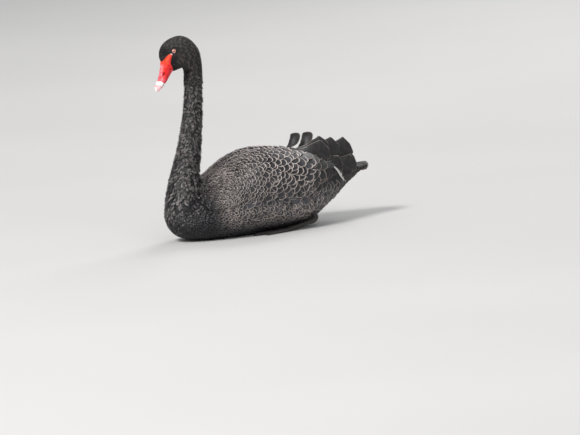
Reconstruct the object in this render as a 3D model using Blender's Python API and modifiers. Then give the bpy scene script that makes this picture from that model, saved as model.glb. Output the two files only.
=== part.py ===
"""A black swan afloat, life size, as a still model that sits on its belly.

The model is in metres: +Z is up, the bird looks along -Y and its left side is +X.
Its shape is set out below in millimetres, from two places that are easy to find on a swan:
y runs back from the middle of the neck's foot, and z runs up from the flat of the belly.
The last step moves the whole bird so that the origin is under the middle of it.
"""

import math
from collections import namedtuple

import bmesh
import bpy
from mathutils import Matrix, Vector

MM = 0.001

# Clearances
CUT = 0.4  # width of the thin cuts that part the neck and head
CLEAR = 0.55  # how far a cutter is grown past the piece that it makes room for

# A ring is a cross-section of the body. Its top and bottom lie in the plane of symmetry, as (y, z).
# low moves the widest place down (above 0) or up, as a share of half its height. square is the power
# of the superellipse: 2 is an ellipse, and more is boxier.
Ring = namedtuple("Ring", "top bottom half_width low square")

TAIL_RINGS = (
    Ring((512, 130.5), (512, 124.5), 33, 0.0, 2.4),
    Ring((492, 133), (492, 110), 37, 0.0, 2.3),
    Ring((470, 136.5), (470, 94), 42, 0.0, 2.2),
    Ring((448, 141), (446, 78), 48, 0.0, 2.2),
    Ring((425, 148), (420, 60), 57, 0.05, 2.2),
)
TRUNK_RINGS = (
    TAIL_RINGS[-1],
    Ring((398, 158), (392, 42), 68, 0.08, 2.2),
    Ring((365, 171), (358, 20), 81, 0.1, 2.2),
    Ring((330, 184), (322, 4), 94, 0.12, 2.25),
    Ring((296, 193), (288, -4), 103, 0.12, 2.3),
    Ring((254, 198.5), (248, -7), 109, 0.12, 2.3),
    Ring((212, 200.5), (206, -8), 111, 0.12, 2.3),
    Ring((172, 194.5), (164, -8), 109, 0.12, 2.3),
    Ring((134, 180), (122, -8), 103, 0.12, 2.3),
    Ring((98, 161.5), (78, -7), 93, 0.14, 2.25),
    Ring((74, 153.5), (40, -4), 82, 0.16, 2.2),
    Ring((62, 150.5), (10, 2), 72, 0.16, 2.2),
    Ring((55, 151), (-17, 13), 64, 0.14, 2.15),
    Ring((51, 153.5), (-36, 32), 57, 0.1, 2.1),
    Ring((49.5, 157), (-46, 58), 52, 0.05, 2.1),
)
NECK_RINGS = (
    TRUNK_RINGS[-1],
    Ring((49, 163), (-45, 86), 49, 0.0, 2.1),
    Ring((50, 172), (-40.5, 114), 45.5, 0.0, 2.05),
    Ring((52.5, 186), (-32.5, 145), 41, 0.0, 2.0),
    Ring((56, 204), (-21.5, 177), 37, 0.0, 2.0),
    Ring((60.5, 228), (-8.5, 212), 33, 0.0, 2.0),
    Ring((65, 256), (3.5, 248), 29, 0.0, 2.0),
    Ring((69.5, 290), (13, 287), 25.5, 0.0, 2.0),
    Ring((74, 327), (21.5, 326), 23, 0.0, 2.0),
    Ring((77, 364), (27, 365), 21.5, 0.0, 2.0),
    Ring((79, 400), (29.5, 400), 21, 0.0, 2.0),
)
HEAD_RINGS = (
    NECK_RINGS[-1],
    Ring((79.5, 424), (30.5, 413), 21.5, 0.0, 2.0),
    Ring((78, 444), (29.5, 420.5), 22, 0.0, 2.0),
    Ring((73, 461), (26.5, 424.5), 23.5, 0.05, 2.0),
    Ring((66.5, 475), (22.5, 426), 25, 0.08, 2.0),
    Ring((58, 488), (18, 425.5), 26.5, 0.1, 2.05),
    Ring((44, 499), (13.5, 424.2), 27.5, 0.1, 2.1),
    Ring((26, 505.3), (9, 422.8), 27.5, 0.05, 2.15),
    Ring((7, 503.6), (5, 421.6), 26.5, 0.0, 2.15),
    Ring((-11, 497.3), (1.5, 420.8), 25, 0.0, 2.1),
    Ring((-24.5, 488), (-0.5, 420.5), 22.8, 0.05, 2.05),
    Ring((-32.5, 476), (-2, 420.8), 20.4, 0.15, 2.0),
    Ring((-35, 462), (-3.5, 421.8), 18.2, 0.25, 2.0),
    Ring((-31.3, 446.7), (-5, 423), 16.4, 0.3, 2.0),
)

# The bill is set out from the eye: the first number runs from the eye towards the bill's tip, and the
# second is square to that, towards the forehead.
EYE = (-5.3, 471.3)
BILL_DIP = math.radians(64)  # of the line from eye to tip, below the horizon
UPPER_BILL_RINGS = (
    Ring((33.5, 12.6), (41.5, -15.2), 16, 0.3, 2.0),
    Ring((43.5, 10.2), (49.5, -14.2), 15.2, 0.35, 2.0),
    Ring((54.5, 7.6), (58.5, -12.9), 14.4, 0.4, 2.0),
    Ring((66, 4.8), (68.5, -11.3), 13.9, 0.4, 2.1),
    Ring((77.5, 4.0), (79, -8.9), 14.2, 0.35, 2.2),
    Ring((88.5, 4.8), (89.5, -6.6), 14.2, 0.25, 2.3),
    Ring((97, 4.6), (97.8, -5.2), 12.4, 0.15, 2.3),
    Ring((103, 2.4), (103.2, -4.4), 8.6, 0.1, 2.2),
    Ring((106.4, -0.2), (106, -3.6), 3.4, 0.0, 2.0),
)
LOWER_BILL_RINGS = (
    Ring((41.9, -15.7), (42.9, -20.2), 13.4, -0.2, 2.2),
    Ring((50.8, -14.6), (52.2, -18.8), 12.6, -0.2, 2.2),
    Ring((59.6, -13.3), (60.6, -17.2), 11.8, -0.2, 2.2),
    Ring((69.4, -11.7), (70.2, -15.2), 11.4, -0.2, 2.2),
    Ring((79.6, -9.4), (80.2, -12.6), 11.4, -0.2, 2.2),
    Ring((89.6, -7.2), (90, -9.8), 10.4, -0.2, 2.2),
    Ring((95.6, -6.0), (95.8, -7.8), 6.8, -0.1, 2.2),
)
EYE_RADIUS = 7.0
EYE_OUT = 18.8  # from the plane of symmetry to the middle of the eye

# The folded wing lies on the trunk like a long leaf. Each row is a place along the trunk's rings,
# the angles round the trunk of its upper and lower edges, 0 being the ridge of the back, and its depth.
WingRow = namedtuple("WingRow", "along upper lower depth")
WING_ROWS = (
    WingRow(1.0, 66, 74, 1.0),
    WingRow(1.5, 58, 78, 2.0),
    WingRow(2.3, 47, 81, 3.5),
    WingRow(3.3, 36, 82, 5.5),
    WingRow(4.5, 24, 82, 7.5),
    WingRow(6.0, 13, 82, 9.5),
    WingRow(8.0, 7, 82, 11.0),
    WingRow(9.6, 6, 81, 11.0),
    WingRow(11.0, 6, 79, 10.5),
    WingRow(12.1, 8, 75, 9.5),
    WingRow(13.2, 11, 69, 8.0),
    WingRow(14.3, 16, 60, 6.5),
    WingRow(15.3, 24, 50, 3.5),
)
WING_EDGE = 2.2  # how far the wing's edge stands off the trunk
WING_SINK = 14.0  # how far the uncut blank of the wing reaches into the trunk

# The ruffled tertials. root is (x, y, z), out and up are the angles of the shaft at the root, out
# from straight back and up from level. curl bends the vane up along its length, tilt turns its outer
# edge down at the root, twist adds to that towards the tip, cup hollows it, and all are in degrees.
Plume = namedtuple("Plume", "root length width out up curl tilt twist cup")
LEFT_PLUMES = (
    Plume((52, 300, 188), 96, 56, -2, -12, 40, 45, 28, 60),
    Plume((36, 312, 188), 96, 54, -2, -6, 40, 40, 34, 60),
    Plume((28, 380, 170), 100, 52, -3, -4, 40, 36, 38, 60),
    Plume((44, 384, 148), 94, 46, -3, -12, 26, 50, 25, 50),
)
RIGHT_PLUMES = (
    Plume((26, 318, 187), 49, 27, 0, 30, 62, -8, -44, 60),
    Plume((26, 348, 179), 57, 31, 0, 30, 62, -8, -36, 60),
    Plume((40, 346, 166), 88, 46, -2, -4, 6, 30, 30, 70),
    Plume((36, 384, 152), 82, 42, -2, -6, 6, 34, 30, 70),
)
PLUME_THICKNESS = 1.6

# The tail's feathers fan out from one place under the rump. An outer feather is shorter and lower.
TAIL_FAN_Y, TAIL_FAN_Z = 430, 129
TAIL_FEATHERS = 7
TAIL_SPREAD = math.radians(20)  # between the middle feather and the outermost
TAIL_REACH = 99  # of the middle feather
TAIL_SHORTER = 14  # how much less the outermost reaches
TAIL_DROP = 9  # how much lower the outermost tip is
TAIL_WIDTH = 21
TAIL_THICKNESS = 2.0

# The feet are folded flat beside the keel, toes forward.
FOOT_X = 86
ANKLE_Y, ANKLE_Z = 322, 19
TOE_ROOT_Y = 246
TOE_REACH = (84, 100, 76)  # inner, middle and outer toe
TOE_SPLAY = (-11, -1, 9)  # degrees
WEB_THICKNESS = 3.0
SHANK_RADIUS, TOE_RADIUS = 6.0, 4.2

BLACK_FEATHER = (0.012, 0.012, 0.014)
NECK_FEATHER = (0.009, 0.009, 0.011)
WING_FEATHER = (0.026, 0.024, 0.025)
BILL_RED = (0.62, 0.02, 0.018)
EYE_RED = (0.35, 0.06, 0.05)
FOOT_GREY = (0.03, 0.028, 0.028)


def clear_scene():
    for thing in list(bpy.data.objects):
        bpy.data.objects.remove(thing)


def new_collection(name):
    group = bpy.data.collections.new(name)
    bpy.context.scene.collection.children.link(group)
    return group


def material(name, colour, roughness):
    made = bpy.data.materials.new(name)
    made.use_nodes = True
    shader = made.node_tree.nodes["Principled BSDF"]
    shader.inputs["Base Color"].default_value = (*colour, 1)
    shader.inputs["Roughness"].default_value = roughness
    shader.inputs["Metallic"].default_value = 0
    return made


def blend(a, b, share):
    return a + (b - a) * share


def smooth_step(low, high, value):
    share = min(1.0, max(0.0, (value - low) / (high - low)))
    return share * share * (3 - 2 * share)


def numbers(ring):
    return (*ring.top, *ring.bottom, ring.half_width, ring.low, ring.square)


def between(rows, place):
    """The numbers at a place along rows, on a Catmull-Rom curve through them."""
    last = len(rows) - 1
    i = min(max(int(place), 0), last - 1)
    t = place - i
    p0, p1, p2, p3 = (rows[min(max(k, 0), last)] for k in (i - 1, i, i + 1, i + 2))
    return [
        0.5 * (2 * b + (c - a) * t + (2 * a - 5 * b + 4 * c - d) * t * t + (3 * b - a - 3 * c + d) * t ** 3)
        for a, b, c, d in zip(p0, p1, p2, p3)
    ]


def ring_at(rings, place):
    y0, z0, y1, z1, half_width, low, square = between([numbers(r) for r in rings], place)
    return Ring((y0, z0), (y1, z1), half_width, low, square)


def on_ring(ring, angle):
    """A point of a ring, in millimetres. The angle runs from the top, over the left side."""
    power = 2 / ring.square
    across, along = math.sin(angle), math.cos(angle)
    x = ring.half_width * math.copysign(abs(across) ** power, across)
    rise = math.copysign(abs(along) ** power, along)
    rise -= ring.low * (1 - rise * rise)
    top, bottom = Vector(ring.top), Vector(ring.bottom)
    y, z = (top + bottom) / 2 + (top - bottom) / 2 * rise
    return Vector((x, y, z))


def shifted(ring, by):
    """The ring moved square to its own plane, towards the tail if by is above 0."""
    down = Vector(ring.bottom) - Vector(ring.top)
    move = Vector((-down.y, down.x)).normalized() * by
    return ring._replace(top=tuple(Vector(ring.top) + move), bottom=tuple(Vector(ring.bottom) + move))


def out_of_eye(ring):
    """A ring of the bill, from the eye's own directions to y and z."""
    ahead = Vector((-math.cos(BILL_DIP), -math.sin(BILL_DIP)))
    up = Vector((-math.sin(BILL_DIP), math.cos(BILL_DIP)))
    top = Vector(EYE) + ahead * ring.top[0] + up * ring.top[1]
    bottom = Vector(EYE) + ahead * ring.bottom[0] + up * ring.bottom[1]
    return ring._replace(top=tuple(top), bottom=tuple(bottom))


def add_object(name, bm, group, look=None, smooth=True):
    bmesh.ops.recalc_face_normals(bm, faces=bm.faces)
    mesh = bpy.data.meshes.new(name)
    bm.to_mesh(mesh)
    bm.free()
    if smooth:
        mesh.shade_smooth()
        mesh.set_sharp_from_angle(angle=math.radians(50))
    made = bpy.data.objects.new(name, mesh)
    group.objects.link(made)
    if look:
        mesh.materials.append(look)
    return made


def skin_rows(bm, rows):
    """Faces between rows of points, each row a closed loop, with a flat cap at each end."""
    loops = [[bm.verts.new(p * MM) for p in row] for row in rows]
    count = len(loops[0])
    for here, there in zip(loops, loops[1:]):
        for i in range(count):
            j = (i + 1) % count
            bm.faces.new((here[i], here[j], there[j], there[i]))
    bm.faces.new(loops[0])
    bm.faces.new(reversed(loops[-1]))


def loft(name, rings, group, look, sides=24, cut_first=True, cut_last=True):
    """A closed solid through rings, with half of a thin cut taken off each parted end."""
    places = [i / 2 for i in range((len(rings) - 1) * 2 + 1)]
    row_rings = [ring_at(rings, place) for place in places]
    if cut_first:
        row_rings[0] = shifted(row_rings[0], -CUT / 2)
    if cut_last:
        row_rings[-1] = shifted(row_rings[-1], CUT / 2)
    rows = []
    for ring in row_rings:
        row = [on_ring(ring, 2 * math.pi * i / sides) for i in range(sides)]
        for point in row:
            point.z = max(point.z, 0)  # the flat that the bird sits on
        rows.append(row)
    bm = bmesh.new()
    skin_rows(bm, rows)
    return add_object(name, bm, group, look)


def grown(source, by, group):
    """A copy of a solid, grown along its normals, to cut its neighbours with."""
    bm = bmesh.new()
    bm.from_mesh(source.data)
    bm.normal_update()
    moves = [(v, v.normal * by * MM) for v in bm.verts]
    for vert, move in moves:
        vert.co += move
    made = add_object(source.name + "_room", bm, group, smooth=False)
    return as_cutter(made)


def as_cutter(thing):
    thing.hide_render = True
    thing.display_type = "WIRE"
    return thing


def boolean(thing, other, operation):
    modifier = thing.modifiers.new(f"{operation.lower()} {other.name}", "BOOLEAN")
    modifier.operation = operation
    modifier.object = other


def wing_blank(name, side, group, look):
    """The folded wing as a leaf on the trunk's flank. It still reaches into the trunk."""
    across, steps = 10, 20
    rows = []
    for i in range(steps + 1):
        place = (len(WING_ROWS) - 1) * i / steps
        along, upper, lower, depth = between(WING_ROWS, place)
        ring = ring_at(WING_ON, along)
        middle = (Vector(ring.top) + Vector(ring.bottom)) / 2
        outer, inner = [], []
        for j in range(across + 1):
            share = j / across
            angle = math.radians(blend(upper, lower, share))
            point = on_ring(ring, angle)
            out = Vector((point.x, 0, point.z - middle.y)).normalized()
            bulge = math.sin(math.pi * share) ** 0.6
            outer.append(point + out * (WING_EDGE + depth * bulge))
            inner.append(point - out * WING_SINK)
        rows.append(outer + inner[::-1])
    bm = bmesh.new()
    skin_rows(bm, [[Vector((side * p.x, p.y, p.z)) for p in row] for row in rows])
    return add_object(name, bm, group, look)


WING_ON = tuple(reversed(TRUNK_RINGS)) + tuple(reversed(TAIL_RINGS[:-1]))


def vane_width(share):
    """How wide a vane is along its length, 1 at its widest, with a blunt tip."""
    swell = blend(0.4, 1.0, smooth_step(0.0, 0.55, share))
    tip = max(0.0, (share - 0.8) / 0.2)
    return swell * math.sqrt(max(0.0, 1 - tip ** 3))


def plume_object(name, plume, side, group):
    """One curled feather as a thin solid, its root sunk in the wing."""
    along, across = 8, 4
    point = Vector(plume.root)
    point.x *= side
    out, up = math.radians(plume.out) * side, math.radians(plume.up)
    step = plume.length / along
    bm = bmesh.new()
    rows = []
    for i in range(along + 1):
        share = i / along
        rise = up + math.radians(plume.curl) * share * share
        ahead = Vector((math.sin(out) * math.cos(rise), math.cos(out) * math.cos(rise), math.sin(rise)))
        level = Vector((math.cos(out), -math.sin(out), 0))
        level = Matrix.Rotation(math.radians(plume.tilt + plume.twist * share) * side, 3, ahead) @ level
        face = level.cross(ahead)
        half = plume.width / 2 * max(vane_width(share), 0.12)
        bend = math.radians(plume.cup) * smooth_step(0, 0.5, share)
        row = []
        for j in range(across + 1):
            place = 2 * j / across - 1
            angle = place * bend / 2
            sag = (1 - math.cos(angle)) / max(bend / 2, 1e-6)
            reach = math.sin(angle) / (bend / 2) if bend > 1e-6 else place
            row.append(bm.verts.new((point + level * half * reach - face * half * sag) * MM))
        rows.append(row)
        point = point + ahead * step
    for here, there in zip(rows, rows[1:]):
        for j in range(across):
            bm.faces.new((here[j], here[j + 1], there[j + 1], there[j]))
    made = add_object(name, bm, group, smooth=False)
    solid = made.modifiers.new("thickness", "SOLIDIFY")
    solid.thickness = PLUME_THICKNESS * MM
    solid.offset = 0
    return as_cutter(made)


def tail_feather(name, place, group):
    """One flat tail feather, as an outline with a thickness. place runs from -1 to 1 across the fan."""
    angle = TAIL_SPREAD * place
    reach = TAIL_REACH - TAIL_SHORTER * place * place
    drop = math.atan2(TAIL_DROP * abs(place) ** 1.5, reach)
    half = TAIL_WIDTH / 2
    straight = reach - half
    outline = [(0, -half * 0.6), (straight * 0.5, -half * 0.9)]
    for i in range(5):
        turn = -math.pi / 2 + math.pi * i / 4
        outline.append((straight + half * math.cos(turn), half * math.sin(turn)))
    outline += [(straight * 0.5, half * 0.9), (0, half * 0.6)]
    curve = bpy.data.curves.new(name, "CURVE")
    curve.dimensions = "2D"
    curve.fill_mode = "BOTH"
    curve.extrude = TAIL_THICKNESS / 2 * MM
    spline = curve.splines.new("POLY")
    spline.points.add(len(outline) - 1)
    for point, (x, y) in zip(spline.points, outline):
        point.co = (x * MM, y * MM, 0, 1)
    spline.use_cyclic_u = True
    flat = bpy.data.objects.new(name + "_outline", curve)
    group.objects.link(flat)
    layer = 0.35 * abs(place) * (TAIL_FEATHERS // 2)  # each feather lies a little under the next
    flat.matrix_world = (
        Matrix.Translation(Vector((0, TAIL_FAN_Y, TAIL_FAN_Z - layer)) * MM)
        @ Matrix.Rotation(math.pi / 2 - angle, 4, "Z")
        @ Matrix.Rotation(drop - math.radians(2), 4, "Y")
        @ Matrix.Rotation(math.radians(14) * place, 4, "X")
    )
    return as_cutter(mesh_of(flat, name, group))


def mesh_of(thing, name, group):
    """A curve object made a closed mesh object in the same place. The curve is removed."""
    bpy.context.view_layer.update()
    mesh = bpy.data.meshes.new_from_object(thing.evaluated_get(bpy.context.evaluated_depsgraph_get()))
    mesh.transform(thing.matrix_world)
    bm = bmesh.new()
    bm.from_mesh(mesh)
    bmesh.ops.remove_doubles(bm, verts=bm.verts, dist=0.00001)
    bpy.data.objects.remove(thing)
    bpy.data.meshes.remove(mesh)
    return add_object(name, bm, group, smooth=False)


def tube(name, points, radii, group, sides=3):
    """A round rod through points, in millimetres, with its own radius at each."""
    curve = bpy.data.curves.new(name, "CURVE")
    curve.dimensions = "3D"
    curve.bevel_depth = MM
    curve.bevel_resolution = sides
    curve.use_fill_caps = True
    spline = curve.splines.new("POLY")
    spline.points.add(len(points) - 1)
    for place, point, radius in zip(spline.points, points, radii):
        place.co = (*(c * MM for c in point), 1)
        place.radius = radius
    rod = bpy.data.objects.new(name + "_line", curve)
    group.objects.link(rod)
    return mesh_of(rod, name, group)


def toe_points(side, i):
    """The line of one toe, from its root to its claw."""
    splay = math.radians(TOE_SPLAY[i])
    ahead = Vector((math.sin(splay) * side, -math.cos(splay), 0))
    root = Vector((side * (FOOT_X + (i - 1) * 5.0), TOE_ROOT_Y, TOE_RADIUS + 1.5))
    return [root + ahead * TOE_REACH[i] * share + Vector((0, 0, -1.6 * share)) for share in (0, 0.5, 1.0)]


def web_solid(name, side, group):
    """The web, folded nearly flat between the toes, as a thin plate on the floor."""
    lines = [toe_points(side, i) for i in range(3)]
    rim = [lines[0][0], lines[0][1], lines[0][2]]
    rim += [(lines[0][2] + lines[1][2]) / 2 + Vector((0, 9, 0)), lines[1][2]]
    rim += [(lines[1][2] + lines[2][2]) / 2 + Vector((0, 9, 0)), lines[2][2], lines[2][1], lines[2][0]]
    bm = bmesh.new()
    loops = [
        [bm.verts.new(Vector((p.x, p.y, height)) * MM) for p in rim] for height in (0, WEB_THICKNESS)
    ]
    bm.faces.new(loops[0])
    bm.faces.new(reversed(loops[1]))
    for i in range(len(rim)):
        j = (i + 1) % len(rim)
        bm.faces.new((loops[0][i], loops[0][j], loops[1][j], loops[1][i]))
    return as_cutter(add_object(name, bm, group, smooth=False))


def leg(name, side, group, helpers, look):
    """A shank laid along the floor, with three toes and their web."""
    ankle = Vector((side * (FOOT_X - 3), ANKLE_Y, ANKLE_Z))
    knuckle = Vector((side * FOOT_X, TOE_ROOT_Y - 4, TOE_RADIUS + 2.2))
    knee = ankle + Vector((-side * 12, -6, 34))
    points = [knee, ankle + Vector((-side * 3, 3, 8)), ankle, blend(ankle, knuckle, 0.5), knuckle]
    shank = tube(name, points, [7.5, 7.5, 7.0, SHANK_RADIUS, SHANK_RADIUS], group)
    shank.data.materials.append(look)
    for i in range(3):
        toe = tube(f"{name}_toe_{i}", toe_points(side, i), [TOE_RADIUS + 1, TOE_RADIUS, 2.6], helpers)
        boolean(shank, as_cutter(toe), "UNION")
    boolean(shank, web_solid(f"{name}_web", side, helpers), "UNION")
    floor = floor_cutter(helpers)
    boolean(shank, floor, "DIFFERENCE")
    return shank


def floor_cutter(helpers):
    """A block under the floor, which gives the feet their flat."""
    found = bpy.data.objects.get("under_floor")
    if found:
        return found
    bm = bmesh.new()
    bmesh.ops.create_cube(bm, size=1)
    bmesh.ops.translate(bm, verts=bm.verts, vec=(0, 0.2, -0.5))
    return as_cutter(add_object("under_floor", bm, helpers, smooth=False))


def ball(name, middle, radius, group, look=None):
    bm = bmesh.new()
    bmesh.ops.create_uvsphere(bm, u_segments=16, v_segments=10, radius=radius * MM)
    bmesh.ops.rotate(bm, verts=bm.verts, matrix=Matrix.Rotation(math.pi / 2, 3, "Y"))
    bmesh.ops.translate(bm, verts=bm.verts, vec=Vector(middle) * MM)
    return add_object(name, bm, group, look)


def build_body(swan, looks):
    trunk = loft("trunk", TRUNK_RINGS, swan, looks["body"])
    tail = loft("tail", TAIL_RINGS, swan, looks["body"], cut_first=False)
    loft("neck_lower", NECK_RINGS[:5], swan, looks["neck"])
    loft("neck_middle", NECK_RINGS[4:8], swan, looks["neck"], sides=22)
    loft("neck_upper", NECK_RINGS[7:], swan, looks["neck"], sides=22)
    head = loft("head", HEAD_RINGS, swan, looks["neck"], sides=20)
    return trunk, tail, head


def build_bill(swan, looks):
    upper = [out_of_eye(r) for r in UPPER_BILL_RINGS]
    lower = [out_of_eye(r) for r in LOWER_BILL_RINGS]
    loft("upper_bill", upper, swan, looks["bill"], sides=16, cut_last=False)
    loft("lower_bill", lower, swan, looks["bill"], sides=14, cut_last=False)


def build_eyes(swan, helpers, looks, head):
    for name, side in (("eye_left", 1), ("eye_right", -1)):
        middle = (side * EYE_OUT, *EYE)
        ball(name, middle, EYE_RADIUS, swan, looks["eye"])
        socket = ball(name + "_socket", middle, EYE_RADIUS + CUT, helpers)
        boolean(head, as_cutter(socket), "DIFFERENCE")


def build_tail(tail, helpers):
    for i in range(TAIL_FEATHERS):
        place = 2 * i / (TAIL_FEATHERS - 1) - 1
        boolean(tail, tail_feather(f"tail_feather_{i}", place, helpers), "UNION")


def build_wings(swan, helpers, looks, rooms):
    for name, side, plumes in (("wing_left", 1, LEFT_PLUMES), ("wing_right", -1, RIGHT_PLUMES)):
        wing = wing_blank(name, side, swan, looks["wing"])
        for i, plume in enumerate(plumes):
            boolean(wing, plume_object(f"{name}_plume_{i}", plume, side, helpers), "UNION")
        for room in rooms:
            boolean(wing, room, "DIFFERENCE")


def build_legs(swan, helpers, looks, room):
    for name, side in (("leg_left", 1), ("leg_right", -1)):
        made = leg(name, side, swan, helpers, looks["foot"])
        boolean(made, room, "DIFFERENCE")


def stand_on_origin(swan):
    """Moves every piece so that the origin is under the middle of the bird, on the floor."""
    bpy.context.view_layer.update()
    graph = bpy.context.evaluated_depsgraph_get()
    corners = [
        piece.matrix_world @ Vector(corner)
        for piece in swan.objects
        for corner in piece.evaluated_get(graph).bound_box
    ]
    middle = [(max(c[k] for c in corners) + min(c[k] for c in corners)) / 2 for k in range(2)]
    for thing in bpy.data.objects:
        thing.location.x -= middle[0]
        thing.location.y -= middle[1]


def main():
    clear_scene()
    swan, helpers = new_collection("black_swan"), new_collection("cutters")
    looks = {
        "body": material("body_feathers", BLACK_FEATHER, 0.75),
        "neck": material("neck_feathers", NECK_FEATHER, 0.8),
        "wing": material("wing_feathers", WING_FEATHER, 0.65),
        "bill": material("bill_horn", BILL_RED, 0.4),
        "eye": material("eye", EYE_RED, 0.1),
        "foot": material("foot_skin", FOOT_GREY, 0.55),
    }
    trunk, tail, head = build_body(swan, looks)
    build_tail(tail, helpers)
    build_bill(swan, looks)
    build_eyes(swan, helpers, looks, head)
    bpy.context.view_layer.update()
    rooms = [grown(trunk, CLEAR, helpers), grown(tail, CLEAR, helpers)]
    build_wings(swan, helpers, looks, rooms)
    build_legs(swan, helpers, looks, rooms[0])
    stand_on_origin(swan)


main()
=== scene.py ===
import math
from collections import namedtuple

import bpy
import numpy as np
from mathutils import Matrix, Vector
from mathutils.bvhtree import BVHTree
from mathutils.kdtree import KDTree


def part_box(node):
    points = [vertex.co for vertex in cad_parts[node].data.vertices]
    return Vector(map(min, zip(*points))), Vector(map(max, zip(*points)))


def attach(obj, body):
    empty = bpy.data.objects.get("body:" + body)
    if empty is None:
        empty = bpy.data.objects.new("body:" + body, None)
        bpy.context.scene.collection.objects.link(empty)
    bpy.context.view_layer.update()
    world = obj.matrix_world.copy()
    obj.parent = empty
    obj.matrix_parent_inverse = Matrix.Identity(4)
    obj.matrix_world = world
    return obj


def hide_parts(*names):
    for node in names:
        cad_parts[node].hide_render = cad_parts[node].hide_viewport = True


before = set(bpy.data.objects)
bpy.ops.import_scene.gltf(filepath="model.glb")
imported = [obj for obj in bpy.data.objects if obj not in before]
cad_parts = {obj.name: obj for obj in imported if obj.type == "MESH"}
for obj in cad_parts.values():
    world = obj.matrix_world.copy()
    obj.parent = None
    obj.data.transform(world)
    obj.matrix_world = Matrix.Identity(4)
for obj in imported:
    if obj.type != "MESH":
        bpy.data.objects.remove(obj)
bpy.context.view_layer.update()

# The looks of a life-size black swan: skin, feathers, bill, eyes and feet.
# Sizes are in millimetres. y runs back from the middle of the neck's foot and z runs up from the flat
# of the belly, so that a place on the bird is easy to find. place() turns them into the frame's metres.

MM = 0.001
ROOT = "root"

EYE_OUT, EYE_Y, EYE_Z = 18.8, -5.3, 471.3
eye_low, eye_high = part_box("eye_left")
BACK = (eye_low.y + eye_high.y) / 2 / MM - EYE_Y  # from y = 0 here to the frame's y = 0


def place(points):
    """Points in the script's millimetres as points of the frame, in metres."""
    return (np.asarray(points, float) + (0, BACK, 0)) * MM


def mix(a, b, share):
    return a + (b - a) * share


def ease(low, high, value):
    """0 up to low, 1 from high, and a soft step between."""
    share = np.clip((np.asarray(value, float) - low) / (high - low), 0, 1)
    return share * share * (3 - 2 * share)


def unit(vectors):
    return vectors / np.maximum(np.linalg.norm(vectors, axis=-1, keepdims=True), 1e-9)


# Camera: a long lens, a little ahead of the bird's left side and looking slightly down
AIM_HEIGHT = 85  # of the point that the camera looks from, over the neck's foot
CAMERA_AZIMUTH, CAMERA_HEIGHT, CAMERA_LEAN = math.radians(60), math.radians(8), math.radians(4)
CAMERA_FAR, CAMERA_CLIP = 14000, 100000
CAMERA_RIGHT, CAMERA_UP = 259.7, -44.0  # of the picture's middle from the aim
CAMERA_LENS, SENSOR = 354.7, 36


def add_camera():
    a, e = CAMERA_AZIMUTH, CAMERA_HEIGHT
    right = Vector((math.cos(a), math.sin(a), 0))
    up = Vector((-math.sin(a) * math.sin(e), math.cos(a) * math.sin(e), math.cos(e)))
    back = Vector((math.sin(a) * math.cos(e), -math.cos(a) * math.cos(e), math.sin(e)))
    middle = Vector(place((0, 0, AIM_HEIGHT))) + (right * CAMERA_RIGHT + up * CAMERA_UP) * MM
    across = right * math.cos(CAMERA_LEAN) - up * math.sin(CAMERA_LEAN)
    rise = right * math.sin(CAMERA_LEAN) + up * math.cos(CAMERA_LEAN)
    data = bpy.data.cameras.new("camera")
    data.lens = CAMERA_LENS
    data.sensor_width = SENSOR
    data.clip_end = CAMERA_CLIP * MM
    camera = bpy.data.objects.new("camera", data)
    bpy.context.scene.collection.objects.link(camera)
    turn = Matrix((across, rise, back)).transposed().to_4x4()
    camera.matrix_world = Matrix.Translation(middle + back * CAMERA_FAR * MM) @ turn
    bpy.context.scene.camera = camera


# The body's outline

# A ring is a cross-section of the body. Its top and bottom lie in the plane of symmetry, as (y, z).
# low moves the widest place down, as a share of half the height. square is the power of the superellipse.
Ring = namedtuple("Ring", "top bottom half_width low square")
HEAD_RINGS = (
    Ring((-31.3, 446.7), (-5, 423), 16.4, 0.3, 2.0),
    Ring((-35, 462), (-3.5, 421.8), 18.2, 0.25, 2.0),
    Ring((-32.5, 476), (-2, 420.8), 20.4, 0.15, 2.0),
    Ring((-24.5, 488), (-0.5, 420.5), 22.8, 0.05, 2.05),
    Ring((-11, 497.3), (1.5, 420.8), 25, 0.0, 2.1),
    Ring((7, 503.6), (5, 421.6), 26.5, 0.0, 2.15),
    Ring((26, 505.3), (9, 422.8), 27.5, 0.05, 2.15),
    Ring((44, 499), (13.5, 424.2), 27.5, 0.1, 2.1),
    Ring((58, 488), (18, 425.5), 26.5, 0.1, 2.05),
    Ring((66.5, 475), (22.5, 426), 25, 0.08, 2.0),
    Ring((73, 461), (26.5, 424.5), 23.5, 0.05, 2.0),
    Ring((78, 444), (29.5, 420.5), 22, 0.0, 2.0),
    Ring((79.5, 424), (30.5, 413), 21.5, 0.0, 2.0),
)
NECK_RINGS = (
    Ring((79, 400), (29.5, 400), 21, 0.0, 2.0),
    Ring((77, 364), (27, 365), 21.5, 0.0, 2.0),
    Ring((74, 327), (21.5, 326), 23, 0.0, 2.0),
    Ring((69.5, 290), (13, 287), 25.5, 0.0, 2.0),
    Ring((65, 256), (3.5, 248), 29, 0.0, 2.0),
    Ring((60.5, 228), (-8.5, 212), 33, 0.0, 2.0),
    Ring((56, 204), (-21.5, 177), 37, 0.0, 2.0),
    Ring((52.5, 186), (-32.5, 145), 41, 0.0, 2.0),
    Ring((50, 172), (-40.5, 114), 45.5, 0.0, 2.05),
    Ring((49, 163), (-45, 86), 49, 0.0, 2.1),
)
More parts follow.
